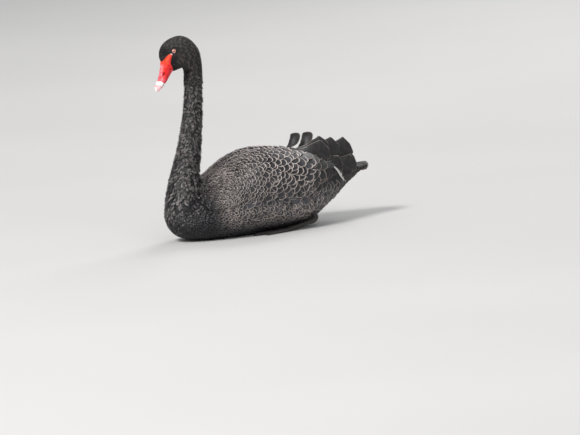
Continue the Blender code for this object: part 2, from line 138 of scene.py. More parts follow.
TRUNK_RINGS = (
    Ring((49.5, 157), (-46, 58), 52, 0.05, 2.1),
    Ring((51, 153.5), (-36, 32), 57, 0.1, 2.1),
    Ring((55, 151), (-17, 13), 64, 0.14, 2.15),
    Ring((62, 150.5), (10, 2), 72, 0.16, 2.2),
    Ring((74, 153.5), (40, -4), 82, 0.16, 2.2),
    Ring((98, 161.5), (78, -7), 93, 0.14, 2.25),
    Ring((134, 180), (122, -8), 103, 0.12, 2.3),
    Ring((172, 194.5), (164, -8), 109, 0.12, 2.3),
    Ring((212, 200.5), (206, -8), 111, 0.12, 2.3),
    Ring((254, 198.5), (248, -7), 109, 0.12, 2.3),
    Ring((296, 193), (288, -4), 103, 0.12, 2.3),
    Ring((330, 184), (322, 4), 94, 0.12, 2.25),
    Ring((365, 171), (358, 20), 81, 0.1, 2.2),
    Ring((398, 158), (392, 42), 68, 0.08, 2.2),
)
TAIL_RINGS = (
    Ring((425, 148), (420, 60), 57, 0.05, 2.2),
    Ring((448, 141), (446, 78), 48, 0.0, 2.2),
    Ring((470, 136.5), (470, 94), 42, 0.0, 2.2),
    Ring((492, 133), (492, 110), 37, 0.0, 2.3),
    Ring((512, 130.5), (512, 124.5), 33, 0.0, 2.4),
)
RINGS = HEAD_RINGS + NECK_RINGS + TRUNK_RINGS + TAIL_RINGS
NECK_AT = len(HEAD_RINGS)  # the place along the rings where the neck starts, and so on
TRUNK_AT = NECK_AT + len(NECK_RINGS)
TAIL_AT = TRUNK_AT + len(TRUNK_RINGS)
END_AT = len(RINGS) - 1

# The folded wing: a place along the trunk's rings, the angles of its upper and lower edge round the
# trunk, 0 being the ridge of the back, and its depth
WING_ROWS = (
    (1.0, 66, 74, 1.0), (1.5, 58, 78, 2.0), (2.3, 47, 81, 3.5), (3.3, 36, 82, 5.5), (4.5, 24, 82, 7.5),
    (6.0, 13, 82, 9.5), (8.0, 7, 82, 11.0), (9.6, 6, 81, 11.0), (11.0, 6, 79, 10.5),
    (12.1, 8, 75, 9.5), (13.2, 11, 69, 8.0), (14.3, 16, 60, 6.5), (15.3, 24, 50, 3.5),
)
WING_EDGE = 2.2  # how far the wing's edge stands off the trunk
WING_FADE = 5.0  # degrees over which the wing's edge falls to the trunk
WING_STEPS = 200  # that the wing's rows are smoothed into
ROWS_A_RING, AROUND = 12, 360  # the grid that the body's surface is worked out on
HEAD_ROWS = 9 * ROWS_A_RING  # of the grid, that rays are sent at


def through(rows, places):
    """Rows of numbers on a smooth curve through the given rows, at places along them."""
    rows, last = np.asarray(rows, float), len(rows) - 1
    i = np.clip(places.astype(int), 0, last - 1)
    t = (places - i)[:, None]
    a, b, c, d = (rows[np.clip(i + k, 0, last)] for k in (-1, 0, 1, 2))
    return 0.5 * (2 * b + (c - a) * t + (2 * a - 5 * b + 4 * c - d) * t**2 + (3 * b - a - 3 * c + d) * t**3)


def ring_points(rows, angles):
    """Points round each row of ring numbers, from the top and over the left side."""
    y0, z0, y1, z1, half_width, low, square = (column[:, None] for column in rows.T)
    across, along = np.sin(angles)[None], np.cos(angles)[None]
    power = 2 / square
    x = half_width * np.sign(across) * np.abs(across) ** power
    rise = np.sign(along) * np.abs(along) ** power
    rise = rise - low * (1 - rise * rise)
    y = (y0 + y1) / 2 + (y0 - y1) / 2 * rise
    z = (z0 + z1) / 2 + (z0 - z1) / 2 * rise
    return np.stack([x, y, z], -1)


def wing_depth(places, angles):
    """How far the folded wings stand off the trunk."""
    rows = through(WING_ROWS, np.linspace(0, len(WING_ROWS) - 1, WING_STEPS))
    along = places - TRUNK_AT
    upper, lower, depth = (np.interp(along, rows[:, 0], rows[:, k])[:, None] for k in (1, 2, 3))
    turn = np.abs(np.degrees((angles + math.pi) % (2 * math.pi) - math.pi))[None]
    share = np.clip((turn - upper) / np.maximum(lower - upper, 1), 0, 1)
    half = WING_FADE * 0.5
    inside = ease(-half, half, turn - upper) * ease(-half, half, lower - turn)
    first, last = rows[0, 0], rows[-1, 0]
    ends = ease(first - 0.4, first + 0.4, along) * (1 - ease(last - 0.5, last + 0.6, along))
    return (WING_EDGE + depth * np.sin(math.pi * share) ** 0.6) * inside * ends[:, None]


class Surface:
    """The bird's outer surface. A place on it is s, along the rings, and t, the share of the way round from
    the ridge of the back over the left side."""

    def __init__(self):
        places = np.linspace(0, END_AT, END_AT * ROWS_A_RING + 1)
        angles = np.linspace(0, 2 * math.pi, 2 * AROUND + 1)
        rows = through([(*r.top, *r.bottom, *r[2:]) for r in RINGS], places)
        points = ring_points(rows, angles)
        middle = np.stack([0 * rows[:, 0], rows[:, [0, 2]].mean(1), rows[:, [1, 3]].mean(1)], -1)
        out = points - middle[:, None]
        out[..., 1] = 0
        points += unit(out) * wing_depth(places, angles)[..., None]
        points[..., 2] = np.maximum(points[..., 2], 0)
        self.places = places
        self.points = self.even(points)
        self.along = np.gradient(self.points, places, axis=0)
        wrapped = np.concatenate([self.points[:, -2:-1], self.points, self.points[:, 1:2]], 1)
        self.round = (wrapped[:, 2:] - wrapped[:, :-2]) * AROUND / 2
        self.normal = unit(np.cross(self.along, self.round))
        outward = (self.normal * (self.points - self.points[:, :-1].mean(1, keepdims=True))).sum(-1)
        if outward.mean() < 0:
            self.normal = -self.normal
        self.table = np.concatenate([self.points, self.normal, self.along, self.round], -1)

    @staticmethod
    def even(points):
        """The rows with their points spaced evenly round."""
        steps = np.linalg.norm(np.diff(points, axis=1), axis=-1)
        made = np.empty((len(points), AROUND + 1, 3))
        shares = np.linspace(0, 1, AROUND + 1)
        for row, step, out in zip(points, steps, made):
            reach = np.concatenate([[0], np.cumsum(step)])
            for k in range(3):
                out[:, k] = np.interp(shares, reach / reach[-1], row[:, k])
        return made

    def at(self, s, t):
        """Point, normal and the two tangents, in millimetres to one whole s and t."""
        held = np.clip(s, 0, END_AT)
        row = held * ROWS_A_RING
        i = np.clip(row.astype(int), 0, len(self.points) - 2)
        column = (t % 1) * AROUND
        j = np.clip(column.astype(int), 0, AROUND - 1)
        u, v = (row - i)[..., None], (column - j)[..., None]
        low = mix(self.table[i, j], self.table[i, j + 1], v)
        high = mix(self.table[i + 1, j], self.table[i + 1, j + 1], v)
        found = mix(low, high, u)
        point, normal, along, around = (found[..., k:k + 3] for k in (0, 3, 6, 9))
        return point + along * (s - held)[..., None], unit(normal), along, around

    @staticmethod
    def step(s, t, along, around, move):
        """The place reached by a short move along the surface."""
        a, b, c = (along * along).sum(-1), (along * around).sum(-1), (around * around).sum(-1)
        p, q = (move * along).sum(-1), (move * around).sum(-1)
        det = np.maximum(a * c - b * b, 1e-6)
        return s + (p * c - q * b) / det, t + (q * a - p * b) / det

    def side(self, y, z, left=True):
        """The place on one side of the bird that is seen at y, z from the side."""
        half = slice(0, AROUND // 2 + 1) if left else slice(AROUND // 2, AROUND + 1)
        gap = (self.points[:, half, 1] - y) ** 2 + (self.points[:, half, 2] - z) ** 2
        i, j = np.unravel_index(gap.argmin(), gap.shape)
        return self.places[i], (j + (0 if left else AROUND // 2)) / AROUND


body = Surface()


# Meshes

def add_piece(name, points, quads, looks, replaces=(), stage=False):
    """A piece from points in millimetres and rows of four corners."""
    mesh = bpy.data.meshes.new(name)
    points, quads = place(points).reshape(-1, 3), np.asarray(quads, np.int32).reshape(-1, 4)
    mesh.vertices.add(len(points))
    mesh.vertices.foreach_set("co", points.astype(np.float32).ravel())
    mesh.loops.add(quads.size)
    mesh.loops.foreach_set("vertex_index", quads.ravel())
    mesh.polygons.add(len(quads))
    mesh.polygons.foreach_set("loop_start", np.arange(len(quads), dtype=np.int32) * 4)
    mesh.update(calc_edges=True)
    mesh.shade_smooth()
    mesh.materials.append(looks)
    thing = bpy.data.objects.new(name, mesh)
    bpy.context.scene.collection.objects.link(thing)
    if stage:
        return thing
    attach(thing, ROOT)
    if replaces:
        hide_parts(*replaces)
    return thing


def grid_quads(rows, columns, closed=False):
    """Corners of a grid's quads. A closed grid joins its last column to its first."""
    across = columns if closed else columns - 1
    i, j = np.meshgrid(np.arange(rows - 1), np.arange(across), indexing="ij")
    k = (j + 1) % columns
    low, high = i * columns, (i + 1) * columns
    return np.stack([low + j, low + k, high + k, high + j], -1).reshape(-1, 4)


def drawn_in(row, shares):
    """Smaller copies of a row that goes round, to close an end with."""
    middle = row.mean(1, keepdims=True)
    return [middle + (row - middle) * k for k in shares]


def closed_rows(rows, first=(), last=(0.6, 0.15)):
    """Rows that go round, with smaller copies of the first and the last to close the ends."""
    return np.concatenate([*drawn_in(rows[:1], first), rows, *drawn_in(rows[-1:], last)])


def store(mesh, name, values):
    """A number or a vector at each vertex, for the materials to read."""
    values = np.asarray(values, np.float32)
    kind, field = ("FLOAT", "value") if values.ndim == 1 else ("FLOAT_VECTOR", "vector")
    mesh.attributes.new(name, kind, "POINT").data.foreach_set(field, values.ravel())


def store_map(mesh, spots):
    """The bake map, from a place on it for each vertex."""
    corners = np.empty(len(mesh.loops), np.int32)
    mesh.loops.foreach_get("vertex_index", corners)
    layer = mesh.uv_layers.new(name="OFBake")
    layer.data.foreach_set("uv", np.asarray(spots, np.float32)[corners].ravel())


# Materials

def linear(code):
    """A colour from its sRGB hex value."""
    parts = [int(code[k:k + 2], 16) / 255 for k in (1, 3, 5)]
    return (*(p / 12.92 if p <= 0.04045 else ((p + 0.055) / 1.055) ** 2.4 for p in parts), 1)


def join(tree, node, links):
    """Joins a node's sockets, by name or number, to the outputs of others."""
    for key, source in links.items():
        tree.links.new(source, node.inputs[key])


def add_node(tree, kind, settings=None, links=None):
    """Adds a node and returns its outputs. Settings go to its properties or, by name or number, to its
    sockets, and links join its sockets to others."""
    node = tree.nodes.new("ShaderNode" + kind)
    for key, value in (settings or {}).items():
        if isinstance(key, str) and hasattr(node, key):
            setattr(node, key, value)
        else:
            node.inputs[key].default_value = linear(value) if isinstance(value, str) else value
    join(tree, node, links or {})
    return node.outputs


def new_material(name, **settings):
    """A material whose shader has these settings. Returns it, its node tree and its shader."""
    made = bpy.data.materials.new(name)
    made.use_nodes = True
    shader = made.node_tree.nodes["Principled BSDF"]
    for key, value in settings.items():
        shader.inputs[key.replace("_", " ")].default_value = value
    return made, made.node_tree, shader


BLEND = {"data_type": "RGBA"}
SOFT = {"interpolation_type": "SMOOTHSTEP"}
BARB_GAP = 1.1  # millimetres. Real barbs are 0.3 to 0.5 apart, and are drawn this coarse to show
FeatherLook = namedtuple("FeatherLook", "dark light halo fringe roughness sheen")


def feather_material(name, look):
    """A vane of keratin barbs. The eye sees fine slanting streaks, a darker shaft, and an edge that is paler
    where it is worn and lets light through."""
    made, tree, shader = new_material(name, Roughness=look.roughness, IOR=1.54, Sheen_Weight=look.sheen)
    shader.inputs["Sheen Roughness"].default_value = 0.4
    shader.inputs["Sheen Tint"].default_value = linear("#9aa0b0")
    barb = add_node(tree, "Attribute", {"attribute_name": "barb"})[1]
    traits = add_node(tree, "Attribute", {"attribute_name": "traits"})[1]
    rim = add_node(tree, "Attribute", {"attribute_name": "rim"})[2]
    light, tone, out = add_node(tree, "SeparateXYZ", {}, {0: traits})
    barbs = add_node(tree, "TexNoise", {"Scale": 1 / BARB_GAP, "Detail": 2.0}, {"Vector": barb})[0]
    broad = add_node(tree, "TexNoise", {"Scale": 0.09, "Detail": 1.0}, {"Vector": barb})[0]
    shade = add_node(tree, "Math", {"operation": "MULTIPLY_ADD", 1: 0.6}, {0: barbs, 2: broad})[0]
    shade = add_node(tree, "MapRange", {**SOFT, "From Min": 0.5, "From Max": 1.1}, {"Value": shade})[0]
    shade = add_node(tree, "Math", {"operation": "MULTIPLY"}, {0: shade, 1: light})[0]
    coat = add_node(tree, "Mix", {**BLEND, 6: look.dark, 7: look.light}, {0: shade})[2]
    ragged = add_node(tree, "Math", {"operation": "MULTIPLY_ADD", 1: 0.9}, {0: barbs, 2: rim})[0]
    halo = add_node(tree, "MapRange", {**SOFT, "From Min": 3.4, "From Max": 1.2}, {"Value": ragged})[0]
    halo = add_node(tree, "Math", {"operation": "MULTIPLY"}, {0: halo, 1: tone})[0]
    coat = add_node(tree, "Mix", {**BLEND, 7: look.halo}, {0: halo, 6: coat})[2]
    wear = add_node(tree, "MapRange", {**SOFT, "From Min": 1.6, "From Max": 0.9}, {"Value": ragged})[0]
    wear = add_node(tree, "Math", {"operation": "MULTIPLY"}, {0: wear, 1: tone})[0]
    worn = {**SOFT, "From Min": 0.32, "From Max": 0.55, "To Min": 0.5}
    spell = add_node(tree, "MapRange", worn, {"Value": broad})[0]
    wear = add_node(tree, "Math", {"operation": "MULTIPLY"}, {0: wear, 1: spell})[0]
    coat = add_node(tree, "Mix", {**BLEND, 7: look.fringe}, {0: wear, 6: coat})[2]
    near = {**SOFT, "From Min": 0.5, "From Max": 0.15, "To Max": 0.5}
    shaft = add_node(tree, "MapRange", near, {"Value": out})[0]
    coat = add_node(tree, "Mix", {**BLEND, 7: look.dark}, {0: shaft, 6: coat})[2]
    bump = add_node(tree, "Bump", {"Strength": 0.6, "Distance": 0.12 * MM}, {"Height": barbs})[0]
    join(tree, shader, {"Base Color": coat, "Normal": bump})
    return made


def neck_feathers():
    # Small soft contour feathers, near black, whose curled tips are painted a little grey as their highlight.
    look = FeatherLook("#050506", "#38353a", "#4c4648", "#948b88", 0.55, 0.08)
    return feather_material("black_contour_feathers", look)


def head_feathers():
    # The shortest feathers, which look like velvet: dark grey with brown mottling and no gloss.
    look = FeatherLook("#09090a", "#464140", "#5a504c", "#81746d", 0.7, 0.15)
    return feather_material("velvet_head_feathers", look)


def mantle_feathers():
    # Broad contour feathers of the back and wing, dark grey with a worn edge of pale pinkish grey.
    look = FeatherLook("#0b0b0d", "#4a484e", "#6b5f5a", "#f0e3da", 0.5, 0.06)
    return feather_material("fringed_mantle_feathers", look)


def tertial_feathers():
    # Large stiff wing feathers, brown black with a blue grey gloss and a thin pale edge.
    look = FeatherLook("#0b090a", "#332e2e", "#5c504a", "#b5a59b", 0.5, 0.05)
    return feather_material("curled_tertial_feathers", look)


def white_feathers():
    # Unworn flight feathers of the wing tip, which are white all over.
    look = FeatherLook("#b5b0ac", "#e9e6e2", "#efece9", "#f8f6f4", 0.5, 0.05)
    return feather_material("white_flight_feathers", look)


def bare_skin_under_feathers():
    # Skin hidden by down: it only has to be as dark as the gaps between feathers.
    made, tree, shader = new_material("dark_downy_skin", Roughness=0.9, IOR=1.45)
    where = add_node(tree, "TexCoord")["Object"]
    down = add_node(tree, "TexNoise", {"Scale": 1 / (2.5 * MM), "Detail": 4.0}, {"Vector": where})[0]
    colour = add_node(tree, "Mix", {**BLEND, 6: "#080809", 7: "#1c1b1d"}, {0: down})[2]
    bump = add_node(tree, "Bump", {"Strength": 1.0, "Distance": 0.8 * MM}, {"Height": down})[0]
    join(tree, shader, {"Base Color": colour, "Normal": bump})
    return made


# Coat

COAT_ALONG = (0, 5, NECK_AT, TRUNK_AT - 3, TRUNK_AT + 3, TAIL_AT, END_AT)
COAT_DEPTH = (1.2, 1.6, 3.5, 5, 6.5, 5.5, 1.6)  # thin on the face and thick on the body
FLOOR_GAP = 0.25  # no feather comes nearer the floor
SKIN_UNDER, SKIN_GAP = 0.3, 2.5  # how far the skin is from the feathers' roots, and from the floor
SKIN_AROUND = 120


def coat_depth(s):
    """How thick the coat is at places along the body."""
    return np.interp(s, COAT_ALONG, COAT_DEPTH)


LORE_ALONG = (6.6, 8.4, 11.6, 15.2, 21.6, 27.6, 34.5, 40)  # from the eye towards the bill
LORE_TOP = (5.0, 6.1, 8.9, 11.5, 13.0, 13.1, 12.2, 11)
LORE_LOW_ALONG = (6.6, 8.4, 11.7, 21.9, 30.9, 38.8, 40.3, 44)
LORE_LOW = (3.6, 3.0, 2.3, 1.0, -3.9, -15.9, -20.4, -22)
BILL_DIP = math.radians(64)  # of the line from the eye to the bill's tip, below the horizon
LID_REACH = 5.7  # feathers stop this far from the middle of the eye
LORE_FLOOR, CHEEK_OUT = 415, 12  # the bare skin lies above this height and further out than this


def from_eye(points):
    """How far points are from the eye, along the bill's line and square to it."""
    y, z = points[..., 1] - EYE_Y, points[..., 2] - EYE_Z
    along = -y * math.cos(BILL_DIP) - z * math.sin(BILL_DIP)
    up = -y * math.sin(BILL_DIP) + z * math.cos(BILL_DIP)
    return along, up


def out_of_eye(along, up):
    """y and z of a place given from the eye."""
    y = EYE_Y - along * math.cos(BILL_DIP) - up * math.sin(BILL_DIP)
    z = EYE_Z - along * math.sin(BILL_DIP) + up * math.cos(BILL_DIP)
    return y, z


def bare(points, spare=0.0):
    """Where no feather grows: the lores, and the lids round the eye."""
    along, up = from_eye(points)
    top, low = np.interp(along, LORE_ALONG, LORE_TOP), np.interp(along, LORE_LOW_ALONG, LORE_LOW)
    lore = (along > LORE_ALONG[0] - spare) & (up < top + spare) & (up > low - spare)
    lore &= points[..., 2] > LORE_FLOOR
    lids = (along**2 + up**2 < (LID_REACH + spare) ** 2) & (np.abs(points[..., 0]) > CHEEK_OUT)
    return lore | lids


WAVES = 7  # of different ways and lengths, whose sum has no pattern to see


def clouds(points, size, rng):
    """A smooth value from 0 to 1 at each point, whose spots are about size across."""
    total = 0.0
    for _ in range(WAVES):
        wave = unit(rng.normal(size=3)) * math.pi / size * rng.uniform(0.7, 1.4)
        total = total + np.sin(points @ wave + rng.uniform(0, 6.3))
    return np.clip(0.5 + total * 0.19, 0, 1)


CROWD, FINE = 5, 3  # places tried for each one kept, and columns of the body's grid taken together


def scatter(gap, where, rng):
    """Places spread evenly over part of the body, no two nearer than gap there."""
    rows = np.arange(0, END_AT, 1 / ROWS_A_RING) + 0.5 / ROWS_A_RING
    columns = (np.arange(AROUND // FINE) + 0.5) * FINE / AROUND
    s, t = (a.ravel() for a in np.meshgrid(rows, columns, indexing="ij"))
    point, _, along, around = body.at(s, t)
    area = np.linalg.norm(np.cross(along, around), axis=1) / ROWS_A_RING * FINE / AROUND
    area *= where(s, t, point)
    count = rng.poisson(area / gap(s, point) ** 2 * CROWD)
    s = np.repeat(s, count) + rng.uniform(-0.5, 0.5, count.sum()) / ROWS_A_RING
    t = np.repeat(t, count) + rng.uniform(-0.5, 0.5, count.sum()) * FINE / AROUND
    point = body.at(s, t)[0]
    reach = gap(s, point)
    tree = KDTree(len(point))
    for k, p in enumerate(point):
        tree.insert(p, k)
    tree.balance()
    taken, kept = np.zeros(len(point), bool), []
    for k in rng.permutation(len(point)):
        if taken[k]:
            continue
        kept.append(k)
        for _, near, _ in tree.find_range(point[k], reach[k]):
            taken[near] = True
    kept = np.array(sorted(kept))
    return s[kept], t[kept], point[kept], reach[kept]


# The shape of a feather: how many rows and columns of points it has, how round its tip is, and how far its
# edges fall below its middle, as a share of its width. roll lifts the edge that lies nearer the back.
Vane = namedtuple("Vane", "rows columns round dome roll")
TIP_LAG, TIP_ARC = 0.27, 2.2  # how far a row's ends lag, in shares of the width, and how sharply
BARB_LAG, BARB_SPREAD = 0.8, 0.12  # the barbs slant back from the shaft
APART = 40  # how far one feather's streaks are taken from another's
MAP_SIZE, MAP_EDGE = 0.97, 0.01  # the part of the bake map that a coat fills, and the edge left round it


def halves(name):
    """For the left and the right half of a coat: the piece's name, the sign of t, and its range."""
    return (name + "_left", 1, 0.0, 0.5), (name + "_right", -1, 0.5, 1.0)


def hill(a, wide, b, high):
    """1 where a and b are 0, and less around that."""
    return np.exp(-(a / wide) ** 2 - (b / high) ** 2)


def barb_place(along, across, chance):
    """Where on the streaks of the barbs a place on a vane lies."""
    ways = (along - BARB_LAG * across, BARB_SPREAD * across, APART * chance)
    return np.stack(np.broadcast_arrays(*ways), -1)


def width_along(share, roundness):
    """How wide a vane is along its length."""
    swell = mix(0.4, 1.0, ease(0.0, 0.5, share))
    tip = np.clip((share - 0.6) / 0.4, 0, 1)
    return swell * mix(1 - 0.92 * tip**1.4, 1 - 0.26 * tip**2, roundness)


def rim_mark(across, half, along, length):
    """How far a place on a vane is from its edge: across is from the shaft, in shares of half its width."""
    rim, end = half * (1 - np.abs(across)), length - along
    return rim * end / np.sqrt(rim * rim + end * end + 1e-6)


def grow(name, looks, vane, s, t, length, width, turn, root, tip, curl, look, patch, span, bend):
    """One piece of coat: a vane from each place s, t, lying along the body and turned down by turn. root and
    tip are heights over the body's surface, and curl lifts the last of the tip. look is how light each vane
    is, how strong its fringe is and how wide, and a number that sets it apart."""
    n, rows, columns = len(s), vane.rows, vane.columns
    light, tone, fringe, chance = look
    side = np.where(t % 1 < 0.5, 1.0, -1.0)
    _, normal, along, around = body.at(s, t)
    ahead = unit(along)
    beside = np.cross(normal, ahead)
    facing = np.sign((beside * around).sum(-1, keepdims=True))
    lie = (turn * side)[:, None]
    ahead = unit(ahead * np.cos(lie) + beside * facing * np.sin(lie))
    shares = np.linspace(0, 1, rows) ** 0.85
    spread = np.linspace(-1, 1, columns)
    verts, barb, traits, rim = (np.empty((n, rows, columns, k)) for k in (3, 3, 3, 1))
    now_s, now_t, before = s.copy(), t.copy(), 0.0
    for i, share in enumerate(shares):
        now_s, now_t = body.step(now_s, now_t, along, around, ahead * (length * (share - before))[:, None])
        _, normal, along, around = body.at(now_s, now_t)
        ahead = unit(ahead - normal * (ahead * normal).sum(-1, keepdims=True))
        beside = np.cross(normal, ahead) * facing
        ahead = unit(ahead + beside * (bend * (share - before))[:, None])
        half = width / 2 * width_along(share, vane.round)
        for j, off in enumerate(spread):
            # the edges of a row lag behind its middle, so that the tip is an arc
            lag = -TIP_LAG * width * abs(off) ** TIP_ARC * share**2 * vane.round
            shift = beside * (half * off)[:, None] + ahead * lag[:, None]
            where, out, _, _ = body.at(*body.step(now_s, now_t, along, around, shift))
            edge = vane.dome * off * off + vane.roll * off * side
            height = mix(root, tip, share) + curl * share**3 - edge * width * (0.3 + 0.7 * share)
            verts[:, i, j] = where + out * height[:, None]
            across = half * abs(off)
            barb[:, i, j] = barb_place(length * share, across, chance)
            traits[:, i, j] = np.stack([light, tone, across], -1)
            rim[:, i, j, 0] = rim_mark(off, half, length * share, length) / fringe
        before = share
    verts[..., 2] = np.maximum(verts[..., 2], FLOOR_GAP)
    quads = (np.arange(n)[:, None, None] * rows * columns + grid_quads(rows, columns)).reshape(-1, 4)
    thing = add_piece(name, verts, quads, looks)
    for kind, values in (("barb", barb), ("traits", traits), ("rim", rim)):
        store(thing.data, kind, values.reshape(n * rows * columns, -1).squeeze())
    low_s, high_s, low_t, high_t = span
    corner = np.stack([(s - low_s) / (high_s - low_s), (t - low_t) / (high_t - low_t)], -1)
    corner = corner * MAP_SIZE + MAP_EDGE
    spot = np.stack(np.broadcast_arrays(shares[:, None], (spread / 2 + 0.5)[None]), -1)
    spots = corner[:, None, None] + spot * np.reshape(patch, (-1, 1, 1, 1))
    store_map(thing.data, spots.reshape(-1, 2))


def add_skin(looks):
    """One skin from the face to the tail, under the coat."""
    places = np.linspace(0, END_AT, END_AT * 5 + 1)
    shares = np.arange(SKIN_AROUND) / SKIN_AROUND
    s, t = (a.ravel() for a in np.meshgrid(places, shares, indexing="ij"))
    point, normal, _, _ = body.at(s, t)
    inner = point - normal * (coat_depth(s) + SKIN_UNDER)[:, None]
    inner[:, 2] = np.maximum(inner[:, 2], SKIN_GAP)
    rows = closed_rows(inner.reshape(len(places), len(shares), 3), (0.02, 0.5), (0.5, 0.02))
    flesh = ("trunk", "tail", "neck_lower", "neck_middle", "neck_upper", "head", "wing_left", "wing_right")
    quads = grid_quads(len(rows), len(shares), closed=True)
    add_piece("skin", rows, quads, looks, flesh)


# The dark of the face, beside the forehead, under the lores and round the eye: how far along from the eye and
# how wide, and how far up and how high
DARK_SPOTS = ((12, 10, 20, 8), (22, 12, -7, 6), (0, 9, 0, 9))
NAPE = (68, 12, 468, 16)  # the ruffled nape: how far back and how wide, and how far up and how high


def add_head_coat(looks, rng):
    low, high = 0.0, NECK_AT + 0.4
    for name, _, from_t, to_t in halves("head_feathers"):
        def gap(s, p):
            return np.interp(s, (0, 3, 8, NECK_AT), (0.95, 1.1, 1.35, 1.7))

        def where(s, t, p):
            return (t >= from_t) & (t < to_t) & (s < high) & ~bare(p, 0.2)

        s, t, point, reach = scatter(gap, where, rng)
        size = reach * rng.uniform(0.85, 1.15, len(s))
        along = body.at(s, t)[2]
        tip_point = body.at(s + size * 3 / np.linalg.norm(along, axis=1), t)[0]
        free = ~bare(tip_point, -0.6)
        s, t, point, size = s[free], t[free], point[free], size[free]
        n = len(s)
        ahead, up = from_eye(point)
        dark = sum(hill(ahead - a, wide, up - b, high) for a, wide, b, high in DARK_SPOTS)
        # painted shade under the jaw: low on the front of the head the feathers are made darker
        dark = dark + ease(440, 428, point[:, 2]) * ease(40, 20, point[:, 1])
        light = np.clip(1 - 1.1 * dark, 0, 1) * mix(0.25, 1, clouds(point, 5, rng))
        tone = light * ease(0.45, 0.8, clouds(point, 3.2, rng)) * rng.uniform(0.2, 0.75, n)
        rise = hill(point[:, 1] - NAPE[0], NAPE[1], point[:, 2] - NAPE[2], NAPE[3])
        grow(
            name, looks, Vane(4, 3, 0.8, 0.08, 0), s, t, size * 3.2, size * 1.9,
            rng.normal(0, 0.16, n), -coat_depth(s), rng.uniform(-0.45, -0.1, n),
            rng.uniform(0, 0.25, n) + rise * rng.uniform(0.5, 3.5, n),
            (light, tone, np.full(n, 1.3), rng.random(n)), 0.0035, (low, high, from_t, to_t),
            rng.normal(0, 0.25, n),
        )


NECK_HEIGHTS = (100, 180, 290, 400)


def add_neck_coat(looks, rng):
    middle = NECK_AT + 4.4
    pieces = (
        ("neck_feathers_upper", NECK_AT - 0.4, middle),
        ("neck_feathers_lower", middle, TRUNK_AT + 1.2),
    )
    for name, low, high in pieces:
        def gap(s, p):
            return np.interp(p[..., 2], NECK_HEIGHTS, (3.4, 2.9, 2.3, 2.1))

        def where(s, t, p):
            return (s >= low) & (s < high)

        s, t, point, _ = scatter(gap, where, rng)
        n, z = len(s), point[:, 2]
        length = np.interp(z, NECK_HEIGHTS, (16, 13, 9.5, 8)) * rng.uniform(0.8, 1.2, n)
        width = np.interp(z, NECK_HEIGHTS, (6.0, 5.0, 3.8, 3.4)) * rng.uniform(0.8, 1.15, n)
        lock = clouds(point * (1, 1, 0.6), 3.0, rng)  # feathers curl up together in small locks
        # painted highlight: feathers in the curled locks are made lighter, with paler tips
        light = ease(0.4, 0.7, lock) * rng.uniform(0.5, 1, n)
        tone = ease(0.45, 0.8, lock) * rng.uniform(0.2, 0.9, n)
        curl = ease(0.35, 0.75, lock) * np.interp(z, (100, 290), (2.2, 3.0)) * rng.uniform(0.5, 1, n)
        twist = (clouds(point, 9, rng) - 0.5) * 1.6
        grow(
            name, looks, Vane(6, 3, 0.6, 0.12, 0), s, t, length, width,
            twist * 0.5 + rng.normal(0, 0.2, n), -coat_depth(s), -1.6 + rng.uniform(-0.3, 0.3, n), curl,
            (light, tone, np.full(n, 2.2), rng.random(n)), 0.003, (low, high, 0, 1),
            twist + rng.normal(0, 0.5, n),
        )


def fringed(point):
    """How much pale edge the feathers show: none on the breast, and most on the shoulder and wing."""
    y, z = point[..., 1], point[..., 2]
    return ease(18, 60, y + 0.25 * (z - 120)) * ease(14, 60, z) * (1 - 0.93 * ease(325, 380, y))


WING_LOW = 108.0  # height of the wing's lower edge
FLANK_LOW = 58  # height of the lowest flank feathers
MANTLE_COLUMN, FLANK_COLUMN = 60, 90  # of the body's points round each row, for how far back a row lies


def shingled(low, high, from_t, to_t, gap, width, rng, loose=0.12):
    """Places in staggered rows round the body, gap(s) apart along it. from_t and to_t are shares of the way
    round at each s, and width(s) is how wide a feather is there."""
    found_s, found_t, s, odd = [], [], low, False
    while s < high:
        start, end = from_t(s), to_t(s)
        shares = np.linspace(start, end, 40)
        point, _, along, _ = body.at(np.full(40, s), shares)
        reach = np.linalg.norm(np.diff(point, axis=0), axis=1).sum()
        count = max(2, round(reach / (width(s) * 0.6)))
        place_t = start + (end - start) * (np.arange(count) + 0.25 + 0.5 * odd) / count
        found_t.append(place_t + rng.normal(0, loose, count) * (end - start) / count)
        found_s.append(s + rng.normal(0, loose, count) * gap(s) / np.linalg.norm(along, axis=1).mean())
        s += gap(s) / np.linalg.norm(along, axis=1).mean()
        odd = not odd
    return np.concatenate(found_s), np.concatenate(found_t)


def add_body_coat(looks, rng):
    """Small feathers on the breast, belly and tail coverts."""
    low, high = TRUNK_AT - 0.3, END_AT - 0.4
    for name, _, from_t, to_t in halves("body_feathers"):
        def gap(s, p):
            return np.interp(p[..., 1], (20, 60, 200, 330, 430), (3.6, 4.4, 6.0, 7, 6))

        def where(s, t, p):
            upper = (s > TRUNK_AT + 5.2) & (s < TAIL_AT - 1) & (p[..., 2] > 70)
            return (s >= low) & (s < high) & (t >= from_t) & (t < to_t) & ~upper

        s, t, point, reach = scatter(gap, where, rng)
        n = len(s)
        width = reach * 1.9 * rng.uniform(0.9, 1.1, n)
        pale = fringed(point)
        light = mix(0.35, 1, pale) * mix(0.4, 1, clouds(point, 18, rng))
        down = 0.3 * (point[:, 2] < 150)
        look = (light, pale * rng.uniform(0.35, 0.9, n), np.clip(reach * 0.2, 0.6, 1.6), rng.random(n))
        grow(
            name, looks, Vane(7, 5, 1.0, 0.03, 0.03), s, t, width * 1.5, width,
            down + rng.normal(0, 0.12, n), -coat_depth(s), -0.9 + rng.uniform(-0.2, 0.3, n),
            rng.uniform(0, 1.0, n), look, np.clip(reach / 520, 0.004, 0.018), (low, high, from_t, to_t),
            rng.normal(0, 0.2, n),
        )


def mantle_width(s):
    y = np.interp(s, body.places, body.points[:, MANTLE_COLUMN, 1])
    return np.interp(y, (62, 90, 130, 180, 230, 290), (10, 13, 18, 25, 31, 36))


